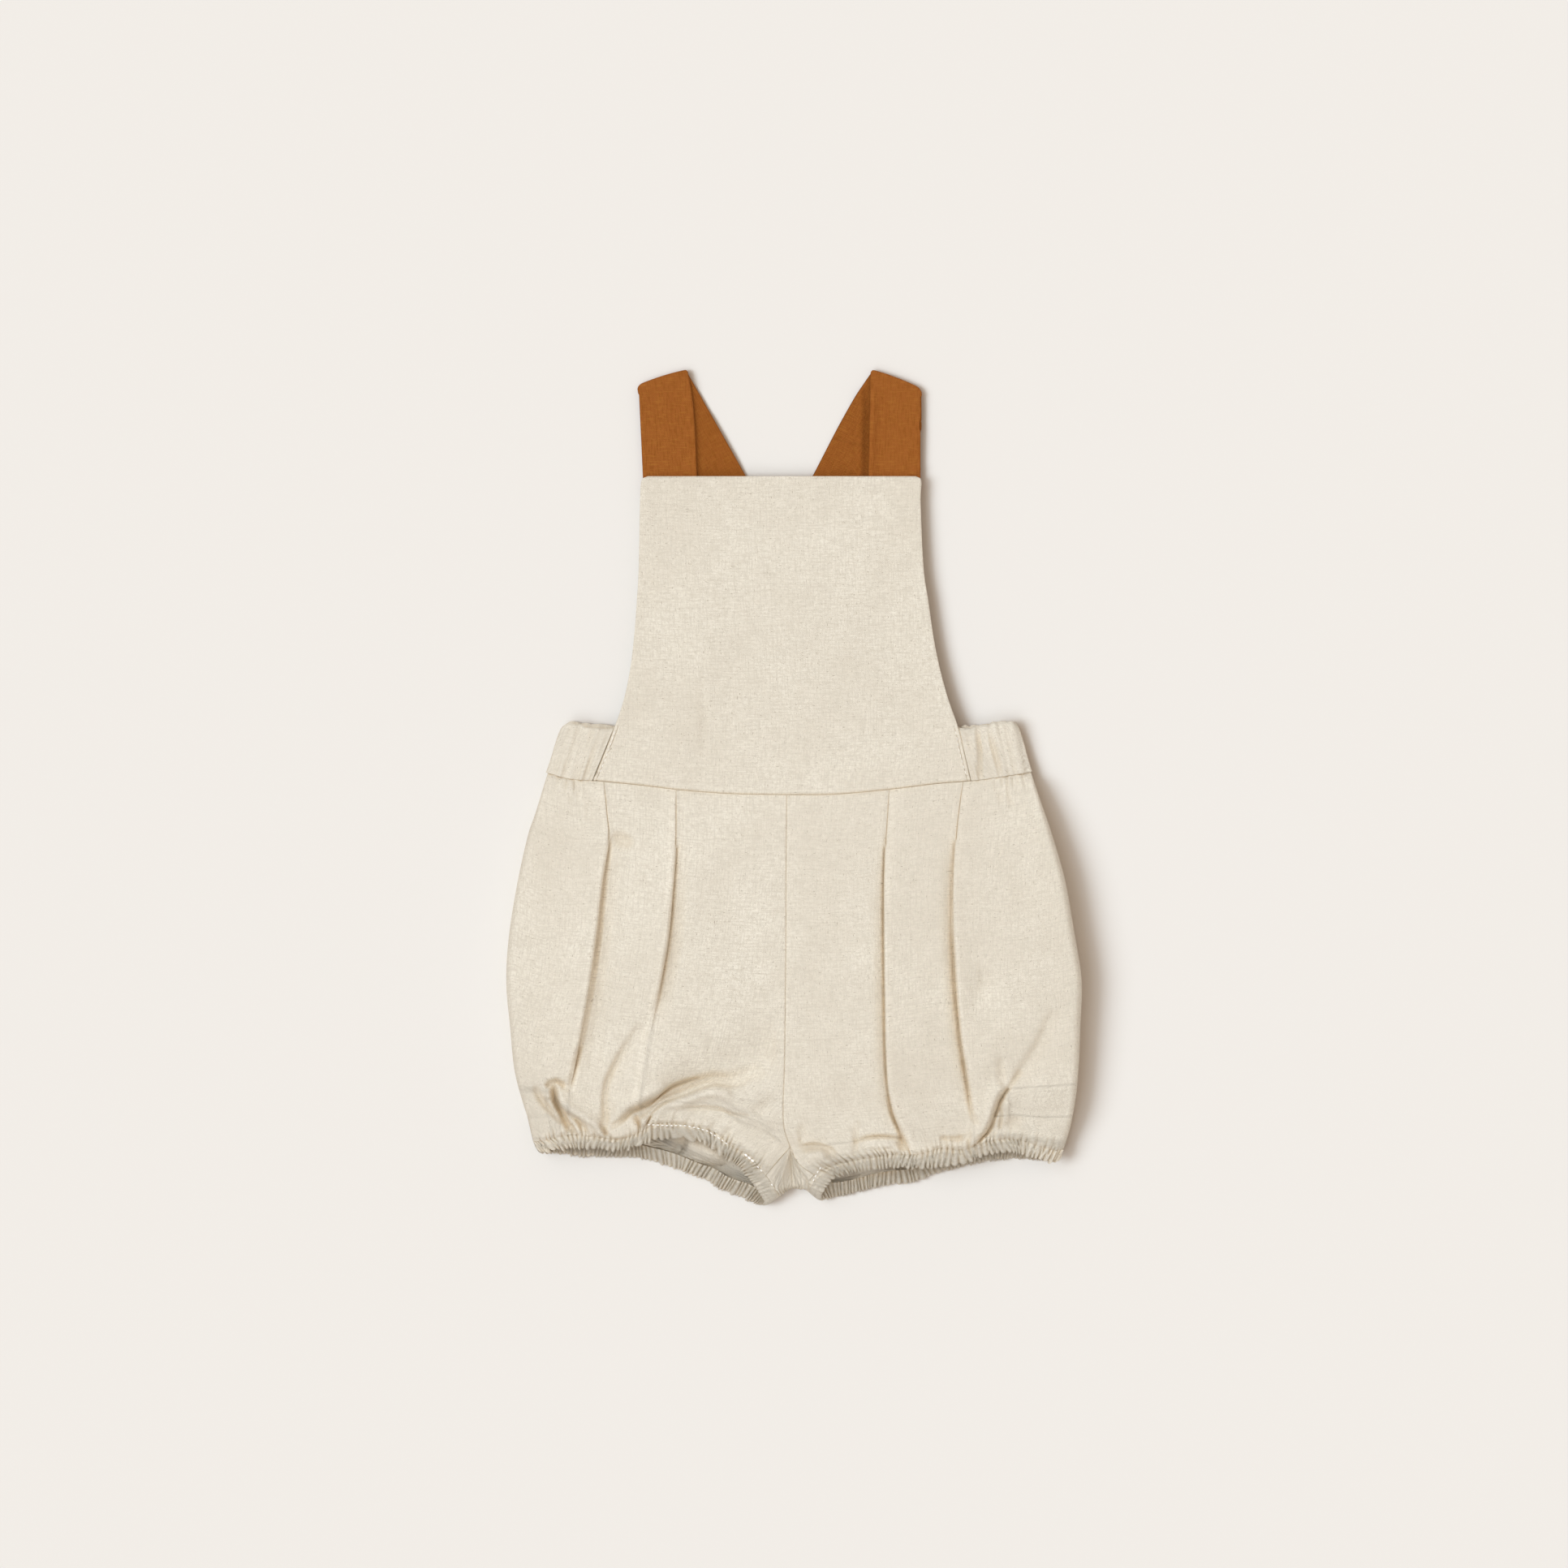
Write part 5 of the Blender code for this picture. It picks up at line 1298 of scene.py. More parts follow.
STRAP_CREASES = (  # of the front parts, and of the back parts
    (
        (0.5, 5, 0, (-72, 215), (-68, 195), (-70, 175)),
        (0.8, 2.4, 0, (-56.4, 220), (-54, 192), (-51.6, 150)),
        (1.5, 2.6, 0, (43, 219), (41.6, 190), (40.6, 150)),
        (-0.4, 6, 0, (52, 215), (56, 195), (54, 175)),
        (0.7, 1.6, 0, (62, 166), (66, 170), (68.4, 173)),
        (-0.6, 1.2, 0, (60.5, 168.6), (64.6, 172), (67.4, 175.4)),
    ),
    (
        (3.2, 2.2, 0.6, (36.2, 217), (36.6, 205), (36, 190), (35.8, 160)),
        (0.5, 4, 0, (-46, 204), (-36, 186), (-26, 168)),
    ),
)
# How far each strap's front part and back part bow sideways at each edge, how round its two
# corners are at the fold, and how far the fold bulges
STRAP_BOWS = {"left": ((0.0, 1.3), (0.0, 0.0)), "right": ((0.0, 0.3), (-1.5, 0.0))}
STRAP_CORNERS = {"left": (3.4, 0.8), "right": (0.8, 4.8)}
STRAP_BULGE = 0.8


def bowed(part, pair, across):
    """Sideways bow of a strap's part at each of its columns."""
    return (pair[0] + across[:, 0] * (pair[1] - pair[0])) * BOW_GAIN * part * (1 - part) ** 2


def corner_cut(away, radius):
    """How far a rounded corner falls back this far from it."""
    return radius - np.sqrt(radius**2 - np.clip(radius - away, 0, None) ** 2)


def strap_grid(edges, lift, end):
    """A strap's middle, folded over at the shoulder, and the share of its thickness left."""
    between = np.linspace(STRAP_INSET[-1], 1 - STRAP_INSET[-1], STRAP_MIDDLE_COLUMNS)[1:-1]
    across = np.concatenate([STRAP_INSET, between, 1 - STRAP_INSET[::-1]])[:, None]
    pairs = (points(edges, f"{part}_x", f"{part}_y") for part in ("front", "fold", "back"))
    front, fold, back = (pair[0] + across * (pair[1] - pair[0]) for pair in pairs)
    band = points(WAISTBAND, "top_x", "top_y")[WAIST_LEFT_SIDE + 1 : WAIST_RIGHT_SIDE]
    back[:, 1] = np.interp(back[:, 0], band[:, 0], band[:, 1]) + STRAP_GAP
    line = unit(fold[-1] - fold[0])
    out = np.array([-line[1], line[0]])
    turn = (STRAP_FRONT_Z - STRAP_BACK_Z) / 2
    width = np.linalg.norm(fold[-1] - fold[0])
    fall = corner_cut(across[:, 0] * width, STRAP_CORNERS[end][0])
    fall = fall + corner_cut((1 - across[:, 0]) * width, STRAP_CORNERS[end][1])
    fall = fall - STRAP_BULGE * 4 * across[:, 0] * (1 - across[:, 0])
    centre = fold - out * (turn + STRAP / 2 + fall[:, None])
    front_bow, back_bow = STRAP_BOWS[end]
    rows = []
    for part in np.linspace(0, 1, STRAP_ROWS[0])[:-1]:
        plan = front + part * (centre - front)
        plan[:, 0] += bowed(1 - part, front_bow, across)
        rows.append(np.column_stack([plan, np.full(len(plan), STRAP_FRONT_Z)]))
    for angle in np.linspace(np.pi / 2, -np.pi / 2, STRAP_ROWS[1]):
        plan = centre + turn * math.cos(angle) * out
        height = STRAP_BACK_Z + turn + turn * math.sin(angle)
        rows.append(np.column_stack([plan, np.full(len(plan), height)]))
    for part in np.linspace(0, 1, STRAP_ROWS[2])[1:]:
        plan = centre + part * (back - centre)
        plan[:, 0] += bowed(min(part * BACK_BOW_ENDS, 1), back_bow, across)
        away = np.linalg.norm(plan - STRAP_CROSSING, axis=1)
        raised = lift * STRAP_LIFT * np.interp(away, STRAP_LIFT_REACH, (1, 0))
        rows.append(np.column_stack([plan, STRAP_BACK_Z + raised]))
    grid = np.array(rows)
    parts = (grid[: STRAP_ROWS[0]], grid[STRAP_ROWS[0] + STRAP_ROWS[1] :])
    for part, creases in zip(parts, STRAP_CREASES):
        part[..., 2] += creased(part[..., :2], creases)
    full = np.sqrt(np.clip(np.minimum(across, 1 - across) * STRAP_ROUND, 0, 1)).T
    return grid, STRAP_THIN + (1 - STRAP_THIN) * full * np.ones((len(grid), 1))


# ---------------------------------------------------------------- sewing

# A stitch's half length and half height as shares of its length and of the thread's thickness,
# how far it is raised, and how much thicker the other kinds are than the bib's
STITCH_LONG = 0.55
STITCH_HIGH = 0.45
STITCH_RAISED = 0.25
CUFF_STITCH = (0.7, 1.8)  # length and thickness, as multiples of the bib's
BARTACK_GAP = 0.1
BARTACK_THICK = 3.4
CAST_FROM = 0.1  # metres up, from where a stitch's place is looked for


def top_of(onto, place):
    """The highest point of the pieces at a place in plan, or None."""
    start = Vector((*laid([*place, 0])[:2], CAST_FROM))
    casts = (piece.ray_cast(start, (0, 0, -1)) for piece in onto)
    spots = [spot for found, spot, _, _ in casts if found]
    return max(spots, key=lambda spot: spot.z, default=None)


def stitch_line(bm, onto, line, length, gap, thickness):
    """Stitches along a line in plan, each lying on the highest of the pieces below it."""
    line = np.array(line, float)
    run = lengths(line)
    for start in np.arange(0, run[-1] - length, length + gap):
        ends = [
            np.array([np.interp(start + step, run, line[:, k]) for k in (0, 1)])
            for step in (0, length)
        ]
        spots = [top_of(onto, end) for end in ends]
        if None in spots:
            continue
        spots[0].z = spots[1].z = max(spot.z for spot in spots)
        way = spots[1] - spots[0]
        turned = way.to_track_quat("X", "Z").to_matrix().to_4x4()
        thick = thickness * MM
        size = Matrix.Diagonal((way.length * STITCH_LONG, thick / 2, thick * STITCH_HIGH, 1))
        middle = (spots[0] + spots[1]) / 2 + Vector((0, 0, STITCH_RAISED * thickness * MM))
        place = Matrix.Translation(middle) @ turned @ size
        bmesh.ops.create_uvsphere(bm, u_segments=6, v_segments=4, radius=1, matrix=place)


CUFF_STITCHES = {
    "left": (
        ((-78.5, -181.6), (-68.5, -182.2), (-58.4, -182.2), (-51.4, -183.6), (-46.2, -185),
         (-39, -189.6), (-34, -193.4)),
        ((-24.6, -198.6), (-19, -204.6), (-14, -210.2), (-10.8, -215.6)),
    ),
    "right": (
        ((14.6, -204.4), (12.6, -207.6), (10.2, -212.4)),
    ),
}
BARTACKS = {"left": (((-26.4, -197.4), (-22.6, -200.6), (-19.8, -203.4)),), "right": ()}
BIB_STITCHES = (
    ((-96, 29.5), (-100.2, 17), (-104.5, 6)),
    ((87, 29.5), (89.4, 17), (92.6, 6)),
)


# ---------------------------------------------------------------- finishes

WEAVE_DEPTH = 0.00022  # of the bump, in metres
THREAD_DEPTH = 0.00005
GRAIN = 0.6  # share of the weave in the bump, beside its streaks
DARK_THREADS = (0.48, 0.70)  # the part of the streaks over which the linen's threads darken
FOLD_SHADE_REACH = 0.009  # how near cloth counts as a fold for the painted fold shade, in metres
# share of the painted fold shade laid on at most
FOLD_SHADE_SHARE = 0.9
STRAP_BACK_SHADE = (0.064, 0.069)  # how far along a strap the painted shade on its back part comes in


def add(tree, kind, *sources, **settings):
    """A node with its settings, its inputs each set to a value or joined to an output."""
    made = tree.nodes.new(kind)
    for key, value in settings.items():
        setattr(made, key, value)
    for slot, source in sources:
        if isinstance(source, bpy.types.NodeSocket):
            tree.links.new(source, made.inputs[slot])
        else:
            made.inputs[slot].default_value = source
    return made


def maths(tree, operation, *values):
    """The outcome of a sum on values or outputs."""
    return add(tree, "ShaderNodeMath", *enumerate(values), operation=operation).outputs[0]


def cloth_material(name, roughness, sheen, specular):
    """A new material with its tree and shader."""
    made = bpy.data.materials.new(name)
    made.use_nodes = True
    shader = made.node_tree.nodes["Principled BSDF"]
    shader.inputs["Roughness"].default_value = roughness
    shader.inputs["Sheen Weight"].default_value = sheen
    shader.inputs["Sheen Roughness"].default_value = 0.5
    shader.inputs["Specular IOR Level"].default_value = specular
    return made, made.node_tree, shader


def noise(tree, vector, scale, detail=2.0):
    """Cloudy noise from about 0 to 1."""
    return add(
        tree,
        "ShaderNodeTexNoise",
        ("Vector", vector),
        ("Scale", scale),
        ("Detail", detail),
        ("Roughness", 0.6),
    ).outputs["Fac"]


def threads(tree, pitch, wander):
    """Counts of threads across and along, a little uneven, from the weave's own map."""
    place = add(tree, "ShaderNodeTexCoord").outputs["Object"]
    weave = add(tree, "ShaderNodeUVMap", uv_map="weave").outputs["UV"]
    split = add(tree, "ShaderNodeSeparateXYZ", ("Vector", weave))
    shift = maths(tree, "MULTIPLY", maths(tree, "SUBTRACT", noise(tree, place, 90.0), 0.5), wander)
    counts = [
        maths(tree, "ADD", maths(tree, "DIVIDE", split.outputs[k], pitch), shift) for k in (0, 1)
    ]
    return place, split, counts


def streaks(tree, split, across, along):
    """Noise drawn out along one set of threads and then along the other."""
    found = []
    for wide, long in ((0, 1), (1, 0)):
        vector = add(
            tree,
            "ShaderNodeCombineXYZ",
            ("X", maths(tree, "MULTIPLY", split.outputs[wide], across)),
            ("Y", maths(tree, "MULTIPLY", split.outputs[long], along)),
            ("Z", 7.0 * wide),
        ).outputs[0]
        found.append(noise(tree, vector, 1.0, 1.0))
    return found


def tinted(tree, colour, other, share):
    """One colour mixed into another by a share."""
    made = add(tree, "ShaderNodeMix", data_type="RGBA")
    for slot, value in ((0, share), (6, colour), (7, other)):
        if isinstance(value, bpy.types.NodeSocket):
            tree.links.new(value, made.inputs[slot])
        else:
            made.inputs[slot].default_value = value if slot == 0 else (*value, 1)
    return made.outputs[2]


def spread(tree, value, low, high):
    """The value's part between low and high as 0 to 1."""
    return add(
        tree, "ShaderNodeMapRange", ("Value", value), ("From Min", low), ("From Max", high)
    ).outputs[0]


def painted_fold_shade(tree, base, warm, reach, share):
    """Painted shade: the colour made darker and warmer in folds, by how closed in a place is within
    this reach.
    """
    # Painted shade: ambient occlusion darkens the colour towards the shade tint
    inner = add(tree, "ShaderNodeAmbientOcclusion", ("Distance", reach), samples=8)
    closed = maths(tree, "MULTIPLY", maths(tree, "SUBTRACT", 1.0, inner.outputs["AO"]), share)
    made = add(tree, "ShaderNodeMix", data_type="RGBA", blend_type="MULTIPLY")
    tree.links.new(closed, made.inputs[0])
    tree.links.new(base, made.inputs[6])
    made.inputs[7].default_value = (*warm, 1)
    return made.outputs[2]


def plain_weave(tree, counts):
    """Height of threads that pass over and under each other by turns."""
    waves = [maths(tree, "SINE", maths(tree, "MULTIPLY", count, math.pi)) for count in counts]
    over = maths(tree, "GREATER_THAN", maths(tree, "MULTIPLY", *waves), 0.0)
    across, along = (maths(tree, "ABSOLUTE", wave) for wave in waves)
    difference = maths(tree, "SUBTRACT", across, along)
    return maths(tree, "ADD", along, maths(tree, "MULTIPLY", difference, over))


def layered(tree, base, *layers):
    """The colour with others over it. Each is a colour, a value, the part of that value that it
    comes in over, and how much of it there is at most."""
    for colour, value, part, most in layers:
        share = maths(tree, "MULTIPLY", spread(tree, value, *part), most)
        base = tinted(tree, base, colour, share)
    return base


def join(tree, shader, base, height, depth):
    """Gives the shader its colour and its bump."""
    bump = add(tree, "ShaderNodeBump", ("Height", height), ("Distance", depth), ("Strength", 1.0))
    tree.links.new(base, shader.inputs["Base Color"])
    tree.links.new(bump.outputs[0], shader.inputs["Normal"])


def grained(tree, height, warp, weft):
    """The height of a weave with its streaks."""
    grain = maths(tree, "ADD", warp, weft)
    return maths(tree, "ADD", maths(tree, "MULTIPLY", height, GRAIN), grain)


def linen(colours, sizes):
    """Flecked plain-woven linen."""
    made, tree, shader = cloth_material("linen", 0.9, 0.05, 0.25)
    place, split, counts = threads(tree, sizes.thread_pitch, 1.2)
    warp, weft = streaks(tree, split, 1250.0, 70.0)
    short_warp, short_weft = streaks(tree, split, 1000.0, 330.0)
    slubs = maths(tree, "MAXIMUM", *streaks(tree, split, 1500.0, 380.0))
    deep = colours.linen_deep
    cloudy = spread(tree, noise(tree, place, 48.0, 5.0), 0.10, 0.90)
    base = layered(
        tree,
        tinted(tree, colours.linen_pale, colours.linen, cloudy),
        (colours.linen_grey, noise(tree, place, 17.0, 4.0), (0.38, 0.68), 0.65),
        (deep, warp, DARK_THREADS, 0.68),
        (deep, weft, DARK_THREADS, 0.70),
        (deep, short_warp, DARK_THREADS, 0.76),
        (deep, short_weft, DARK_THREADS, 0.76),
        (deep, noise(tree, place, 900.0), (0.55, 0.72), 0.8),
        (colours.fleck, slubs, (0.68, 0.78), 0.7),
    )
    # Painted shade: the linen darkened and warmed in its folds by how closed in they are
    base = painted_fold_shade(tree, base, colours.linen_fold_shade, FOLD_SHADE_REACH, FOLD_SHADE_SHARE)
    join(tree, shader, base, grained(tree, plain_weave(tree, counts), warp, weft), WEAVE_DEPTH)
    return made


def rust_cotton(colours, sizes):
    """Ribbed cotton, with painted shade on each strap's back part past the shoulder fold."""
    made, tree, shader = cloth_material("rust_cotton", 0.88, 0.0, 0.08)
    place, split, counts = threads(tree, sizes.thread_pitch, 0.8)
    warp, weft = streaks(tree, split, 1300.0, 160.0)
    pale, deep = colours.rust_pale, colours.rust_deep_threads_and_shade
    base = layered(
        tree,
        colours.rust,
        (pale, noise(tree, place, 90.0, 4.0), (0.35, 0.75), 0.15),
        (deep, warp, (0.42, 0.70), 0.62),
        (pale, weft, (0.50, 0.72), 0.5),
        (pale, noise(tree, place, 1100.0), (0.58, 0.72), 0.4),
        # Painted shade: the strap's back part, past the fold, darkened towards the deep rust
        (deep, split.outputs[1], STRAP_BACK_SHADE, 0.30),
    )
    turns = maths(tree, "MULTIPLY", maths(tree, "ADD", *counts), math.pi / 2)
    rib = maths(tree, "ABSOLUTE", maths(tree, "SINE", turns))
    join(tree, shader, base, grained(tree, rib, warp, weft), WEAVE_DEPTH)
    return made


def thread(colours, _sizes):
    """Sewing thread."""
    made, tree, shader = cloth_material("thread", 0.7, 0.1, 0.25)
    place = add(tree, "ShaderNodeTexCoord").outputs["Object"]
    share = maths(tree, "MULTIPLY", noise(tree, place, 2500.0), 0.15)
    base = tinted(tree, colours.thread, colours.linen_deep, share)
    join(tree, shader, base, noise(tree, place, 4000.0), THREAD_DEPTH)
    return made


MAKERS = {"linen": linen, "rust_cotton": rust_cotton, "thread": thread}


def finish_of(context, name):
    """The named finish, made once for all the pieces. The solids' own keeps another name."""
    found = bpy.data.materials.get(name)
    if found is not None:
        if found.get("romper"):
            return found
        found.name = name + "_solid"
    made = MAKERS[name](context.scene.romper_colours, context.scene.romper_sizes)
    made["romper"] = True
    return made


# ---------------------------------------------------------------- settings


def colour_setting(name, description, default):
    """A colour that a user may change."""
    return bpy.props.FloatVectorProperty(
        name=name, description=description, subtype="COLOR", size=3, min=0, max=1, default=default
    )


def length_setting(name, description, default):
    """A length in metres that a user may change."""
    return bpy.props.FloatProperty(
        name=name,
        description=description,
        default=default,
        min=0.0001,
        subtype="DISTANCE",
        unit="LENGTH",
        precision=5,
    )


class RomperSizes(bpy.types.PropertyGroup):
    """Thicknesses and sewing sizes."""

    cloth: length_setting("Cloth", "Thickness of one layer of linen", 0.00045)
    bib: length_setting("Bib", "Thickness of the double bib", 0.0018)
    strap: length_setting("Strap", "Thickness of a strap", 0.0014)
    thread_pitch: length_setting("Thread pitch", "From one thread of the weave to the next", 0.00055)
    stitch: length_setting("Stitch", "Length of one stitch", 0.0022)
    stitch_gap: length_setting("Stitch gap", "Gap between two stitches", 0.0009)
    stitch_thread: length_setting("Sewing thread", "Thickness of the sewing thread", 0.0004)


class RomperColours(bpy.types.PropertyGroup):
    """Colours of the cloths, the thread and the floor."""

    linen: colour_setting("Linen", "Main colour of the linen", FINISHES["linen"])
    linen_pale: colour_setting("Pale linen", "Where the linen is creamier", (0.92, 0.855, 0.735))
    linen_deep: colour_setting("Deep linen", "Darker threads of the linen", (0.70, 0.63, 0.52))
    linen_grey: colour_setting("Grey linen", "Where the linen is greyer", (0.73, 0.65, 0.535))
    # Painted shade: the tint laid on the linen deep in folds
    linen_fold_shade: colour_setting("Painted fold shade", "Tints the linen deep in folds", (1.0, 0.86, 0.66))
    fleck: colour_setting("Flecks", "Slubs in the linen", (0.36, 0.29, 0.21))
    rust: colour_setting("Rust", "Main colour of the straps", FINISHES["rust_cotton"])
    rust_pale: colour_setting("Pale rust", "Lighter threads of the straps", (0.37, 0.142, 0.025))
    # Darker threads of the straps, and the colour of the painted shade on their back parts
    rust_deep_threads_and_shade: colour_setting("Deep rust", "Darker threads of the straps", (0.21, 0.062, 0.007))
    thread: colour_setting("Thread", "Sewing thread", (0.98, 0.96, 0.92))
    floor: colour_setting("Floor", "The surface below", (0.816, 0.807, 0.799))


# ---------------------------------------------------------------- operators

FRONT_SEED = 11  # of the fronts and of their casings, for their gathers to agree
BACK_SEED = 31
WAIST_SEED = 51

LEGS = {
    "left": (-1, LEFT_FRONT, LEFT_TURN, LEFT_CUFF, LEFT_CREASES),
    "right": (1, RIGHT_FRONT, RIGHT_TURN, RIGHT_CUFF, RIGHT_CREASES),
}


class ROMPER_OT_bloomer_fronts(bpy.types.Operator):
    """Lay the two halves of the bloomers' front, with their knife pleats"""

    bl_idname = "romper.bloomer_fronts"
    bl_label = "Bloomer fronts"

    def execute(self, context):
        thickness = context.scene.romper_sizes.cloth / MM
        for number, (end, (side, rows, turn, stations, creases)) in enumerate(LEGS.items()):
            opens = PLEAT_OPENS[end]
            seed = FRONT_SEED + number
            grid = front_grid(rows, turn, stations, creases, opens, side, thickness, seed)
            look = finish_of(context, "linen")
            made = cloth(f"bloomer_front_{end}", grid, thickness, look, mapped=unfolded(grid))
            dress(made, f"front_{end}")
        return {"FINISHED"}


class ROMPER_OT_bloomer_backs(bpy.types.Operator):
    """Lay the two halves of the bloomers' back, turned up at the crotch"""

    bl_idname = "romper.bloomer_backs"
    bl_label = "Bloomer backs"

    def execute(self, context):
        thickness = context.scene.romper_sizes.cloth / MM
        for seed, (end, (side, rows, turn, stations, _)) in enumerate(LEGS.items()):
            grid = back_grid(rows, turn, stations, side, thickness, BACK_SEED + seed)
            look = finish_of(context, "linen")
            made = cloth(f"bloomer_back_{end}", grid, thickness, look, (0, 0, -1))
            dress(made, f"back_{end}")
        return {"FINISHED"}


class ROMPER_OT_leg_casings(bpy.types.Operator):
    """Gather the two elastic casings of the legs"""

    bl_idname = "romper.leg_casings"
    bl_label = "Leg casings"

    def execute(self, context):
        for seed, (end, (side, _, _, stations, _)) in enumerate(LEGS.items()):
            sections = cuff_grid(stations, side, FRONT_SEED + seed)
            made = casing(f"leg_casing_{end}", sections, finish_of(context, "linen"), True)
            dress(made, f"leg_cuff_{end}")
        return {"FINISHED"}


class ROMPER_OT_waist_casing(bpy.types.Operator):
    """Gather the elastic casing round the back of the waist"""

    bl_idname = "romper.waist_casing"
    bl_label = "Waist casing"

    def execute(self, context):
        made = casing("waist_casing", waistband_grid(WAIST_SEED), finish_of(context, "linen"), False)
        dress(made, "back_waistband")
        return {"FINISHED"}


class ROMPER_OT_bib(bpy.types.Operator):
    """Lay the double bib with its turned edges"""

    bl_idname = "romper.bib"
    bl_label = "Bib"

    def execute(self, context):
        thickness = context.scene.romper_sizes.bib / MM
        grid, thin = bib_grid(thickness)
        made = cloth("bib", grid, thickness, finish_of(context, "linen"), thin=thin)
        dress(made, "front_bib")
        return {"FINISHED"}


class ROMPER_OT_straps(bpy.types.Operator):
    """Fold the two straps at the shoulder and cross them behind the bib"""

    bl_idname = "romper.straps"
    bl_label = "Straps"

    def execute(self, context):
        thickness = context.scene.romper_sizes.strap / MM
        for end, edges, lift in (("left", LEFT_STRAP, 0), ("right", RIGHT_STRAP, 1)):
            grid, thin = strap_grid(edges, lift, end)
            look = finish_of(context, "rust_cotton")
            made = cloth(f"shoulder_strap_{end}", grid, thickness, look, thin=thin)
            dress(made, f"strap_{end}")
        return {"FINISHED"}


class ROMPER_OT_sewing(bpy.types.Operator):
    """Sew the stitches and bartacks that show"""

    bl_idname = "romper.sewing"
    bl_label = "Sewing"

    def execute(self, context):
        sizes = context.scene.romper_sizes
        settings = (sizes.stitch, sizes.stitch_gap, sizes.stitch_thread)
        length, gap, thickness = (value / MM for value in settings)
        short, thick = CUFF_STITCH
        graph = context.evaluated_depsgraph_get()
        bm = bmesh.new()
        onto = [bpy.data.objects["bib"].evaluated_get(graph)]
        for line in BIB_STITCHES:
            stitch_line(bm, onto, line, length, gap, thickness)
        for end in LEGS:
            names = (f"leg_casing_{end}", f"bloomer_front_{end}")
            onto = [bpy.data.objects[name].evaluated_get(graph) for name in names]
            for line in CUFF_STITCHES[end]:
                stitch_line(bm, onto, line, short * length, gap, thick * thickness)
            for line in BARTACKS[end]:
                stitch_line(bm, onto, line, length, BARTACK_GAP, BARTACK_THICK * thickness)
        mesh = bpy.data.meshes.new("sewing")
        bm.to_mesh(mesh)
        bm.free()
        made = finished(mesh, finish_of(context, "thread"))
        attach(made, "root")
        return {"FINISHED"}


CAMERA_AT = (-0.00543, 0.00187, 3.167)
CAMERA_LENS = 135
FLOOR_HALF = 8  # half the floor's side, in metres
FLOOR_DOWN = 0.0001  # how far below the cloth it lies
# How high and from which side each light comes, how wide it is and how strong: the low ones
# fall on the floor, for the shadow beside the garment, and the high ones on the cloth.
FLOOR_LIGHTS = ((39, 184, 28, 2.15), (42, 225, 34, 0.64), (42, 150, 34, 0.59))
CLOTH_LIGHTS = ((76, 150, 40, 1.00), (42, 142, 36, 1.40), (45, 25, 50, 0.70), (45, 270, 50, 0.75))
FLOOR_LIGHT = (0.85, 0.942, 1.0)
CLOTH_LIGHT = (0.786, 0.899, 1.0)
ROOM_LIGHT = (1.0, 0.80, 0.62, 1)
ROOM_STRENGTH = 0.5


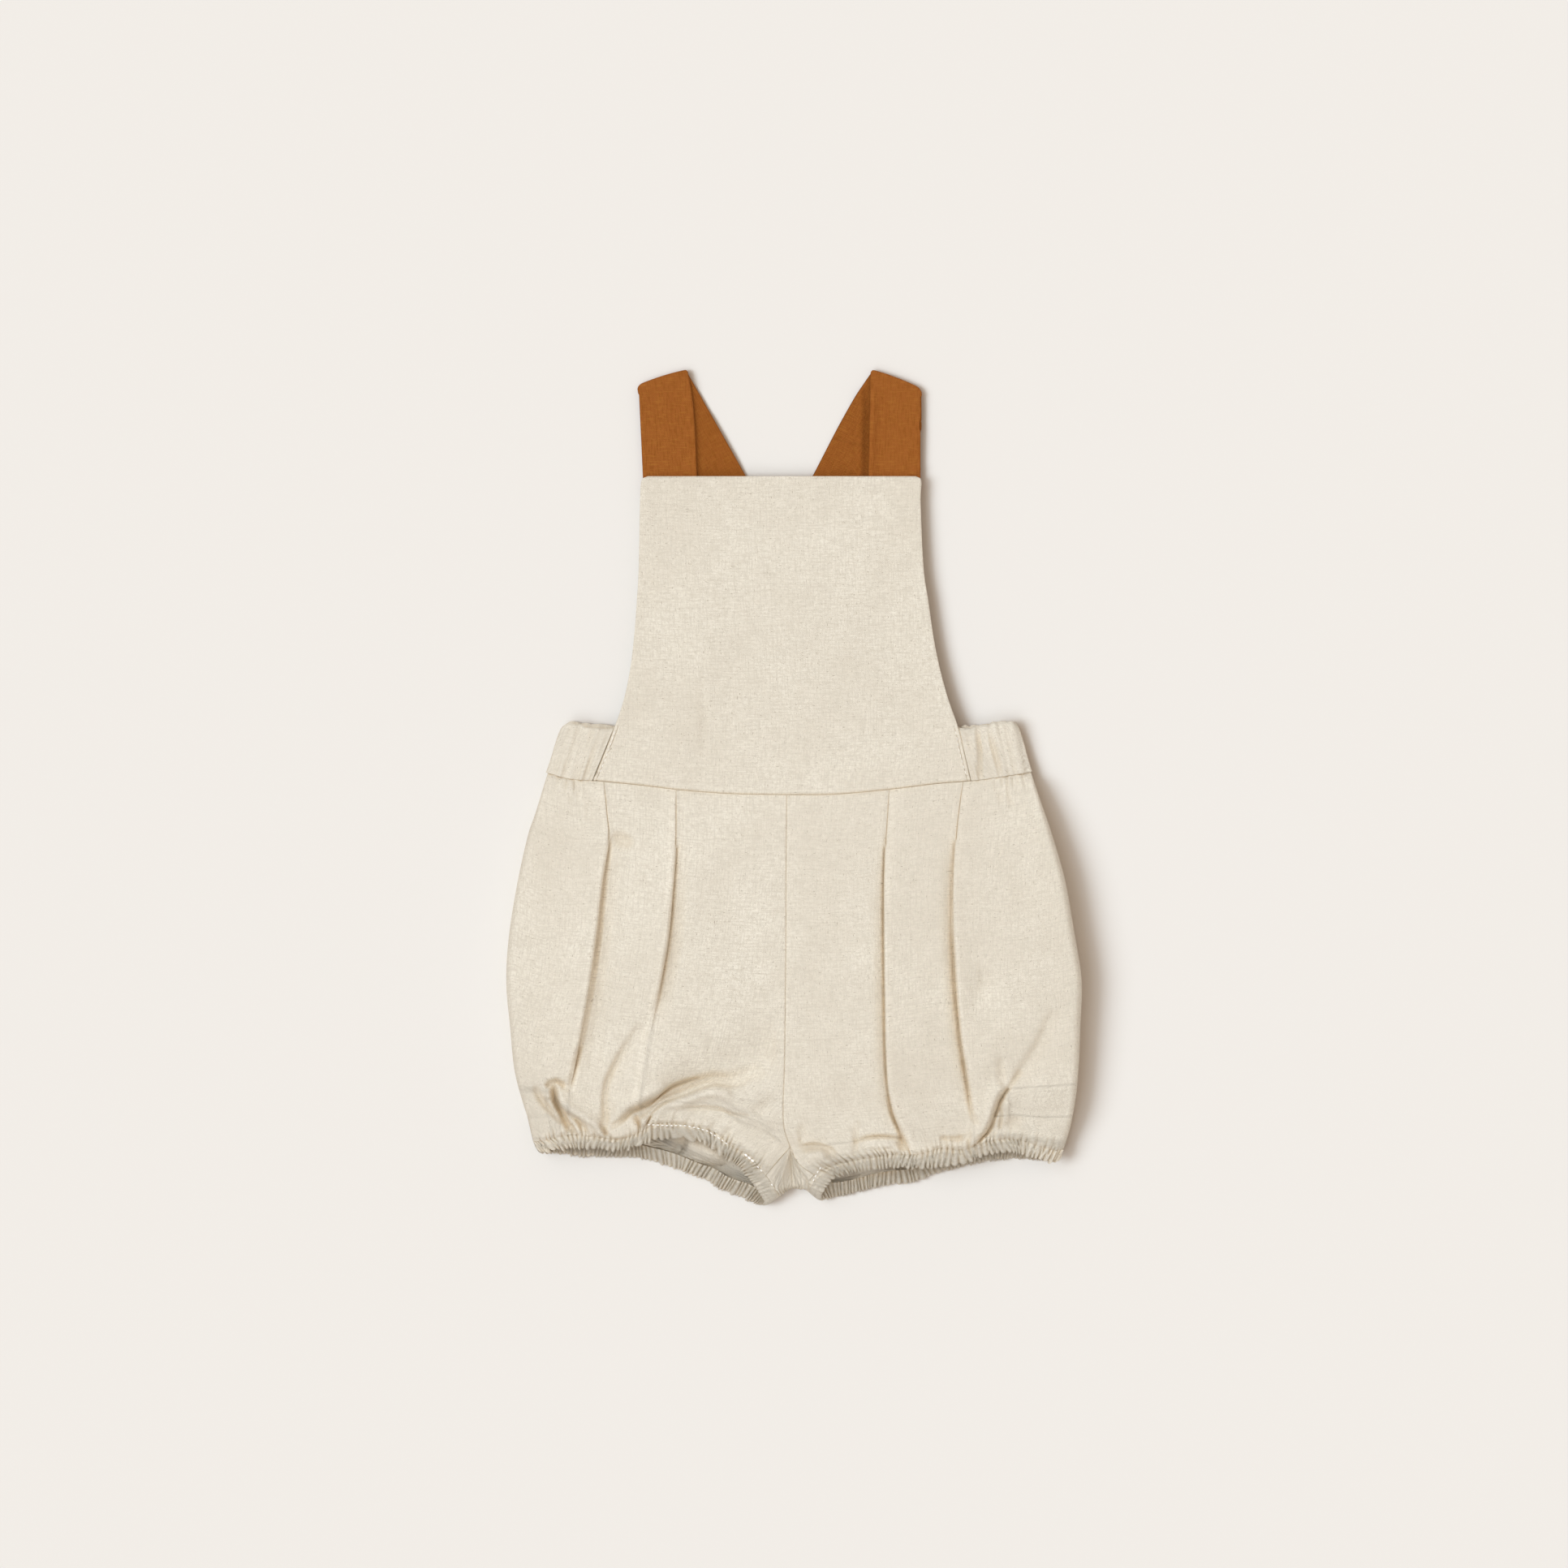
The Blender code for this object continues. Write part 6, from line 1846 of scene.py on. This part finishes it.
class ROMPER_OT_stage(bpy.types.Operator):
    """Set up the floor, the soft light and the camera"""

    bl_idname = "romper.stage"
    bl_label = "Stage"

    def execute(self, context):
        scene = context.scene
        bm = bmesh.new()
        bmesh.ops.create_grid(bm, x_segments=4, y_segments=4, size=FLOOR_HALF)
        bmesh.ops.translate(bm, verts=bm.verts, vec=(0, 0, -FLOOR_DOWN))
        mesh = bpy.data.meshes.new("floor")
        bm.to_mesh(mesh)
        bm.free()
        plain = bpy.data.materials.new("floor")
        plain.use_nodes = True
        shader = plain.node_tree.nodes["Principled BSDF"]
        shader.inputs["Base Color"].default_value = (*scene.romper_colours.floor, 1)
        shader.inputs["Roughness"].default_value = 0.95
        shader.inputs["Specular IOR Level"].default_value = 0.1
        floor = finished(mesh, plain)
        for where, state, colour, lights in (
            ("on_floor", "INCLUDE", FLOOR_LIGHT, FLOOR_LIGHTS),
            ("on_cloth", "EXCLUDE", CLOTH_LIGHT, CLOTH_LIGHTS),
        ):
            lit = bpy.data.collections.new(where)
            lit.objects.link(floor)
            lit.collection_objects[0].light_linking.link_state = state
            for high, azimuth, wide, strength in lights:
                lamp = bpy.data.lights.new(f"light_{where}", "SUN")
                lamp.energy = strength
                lamp.angle = math.radians(wide)
                lamp.color = colour
                made = bpy.data.objects.new(lamp.name, lamp)
                made.rotation_euler = (0, math.radians(90 - high), math.radians(azimuth))
                made.light_linking.receiver_collection = lit
                scene.collection.objects.link(made)
        world = bpy.data.worlds.new("room")
        world.use_nodes = True
        surround = world.node_tree.nodes["Background"]
        surround.inputs["Color"].default_value = ROOM_LIGHT
        surround.inputs["Strength"].default_value = ROOM_STRENGTH
        scene.world = world
        lens = bpy.data.cameras.new("camera")
        lens.lens = CAMERA_LENS
        lens.sensor_width = 36
        lens.clip_end = 100
        camera = bpy.data.objects.new("camera", lens)
        camera.location = CAMERA_AT
        scene.collection.objects.link(camera)
        scene.camera = camera
        scene.view_settings.view_transform = "Standard"
        return {"FINISHED"}


class ROMPER_PT_panel(bpy.types.Panel):
    """The romper's settings and steps"""

    bl_idname = "ROMPER_PT_panel"
    bl_label = "Romper"
    bl_space_type = "VIEW_3D"
    bl_region_type = "UI"
    bl_category = "Romper"

    def draw(self, context):
        for group in (context.scene.romper_sizes, context.scene.romper_colours):
            box = self.layout.box()
            for setting in group.__annotations__:
                box.prop(group, setting)
        for step in STEPS:
            self.layout.operator(step.bl_idname)


STEPS = (
    ROMPER_OT_straps,
    ROMPER_OT_waist_casing,
    ROMPER_OT_bib,
    ROMPER_OT_bloomer_backs,
    ROMPER_OT_bloomer_fronts,
    ROMPER_OT_leg_casings,
    ROMPER_OT_sewing,
    ROMPER_OT_stage,
)
CLASSES = (RomperSizes, RomperColours, *STEPS, ROMPER_PT_panel)


def register():
    for made in CLASSES:
        bpy.utils.register_class(made)
    bpy.types.Scene.romper_sizes = bpy.props.PointerProperty(type=RomperSizes)
    bpy.types.Scene.romper_colours = bpy.props.PointerProperty(type=RomperColours)


def unregister():
    del bpy.types.Scene.romper_colours
    del bpy.types.Scene.romper_sizes
    for made in reversed(CLASSES):
        bpy.utils.unregister_class(made)


def main():
    register()
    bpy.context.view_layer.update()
    for step in STEPS:
        group, name = step.bl_idname.split(".")
        getattr(getattr(bpy.ops, group), name)()


if __name__ == "__main__":
    main()
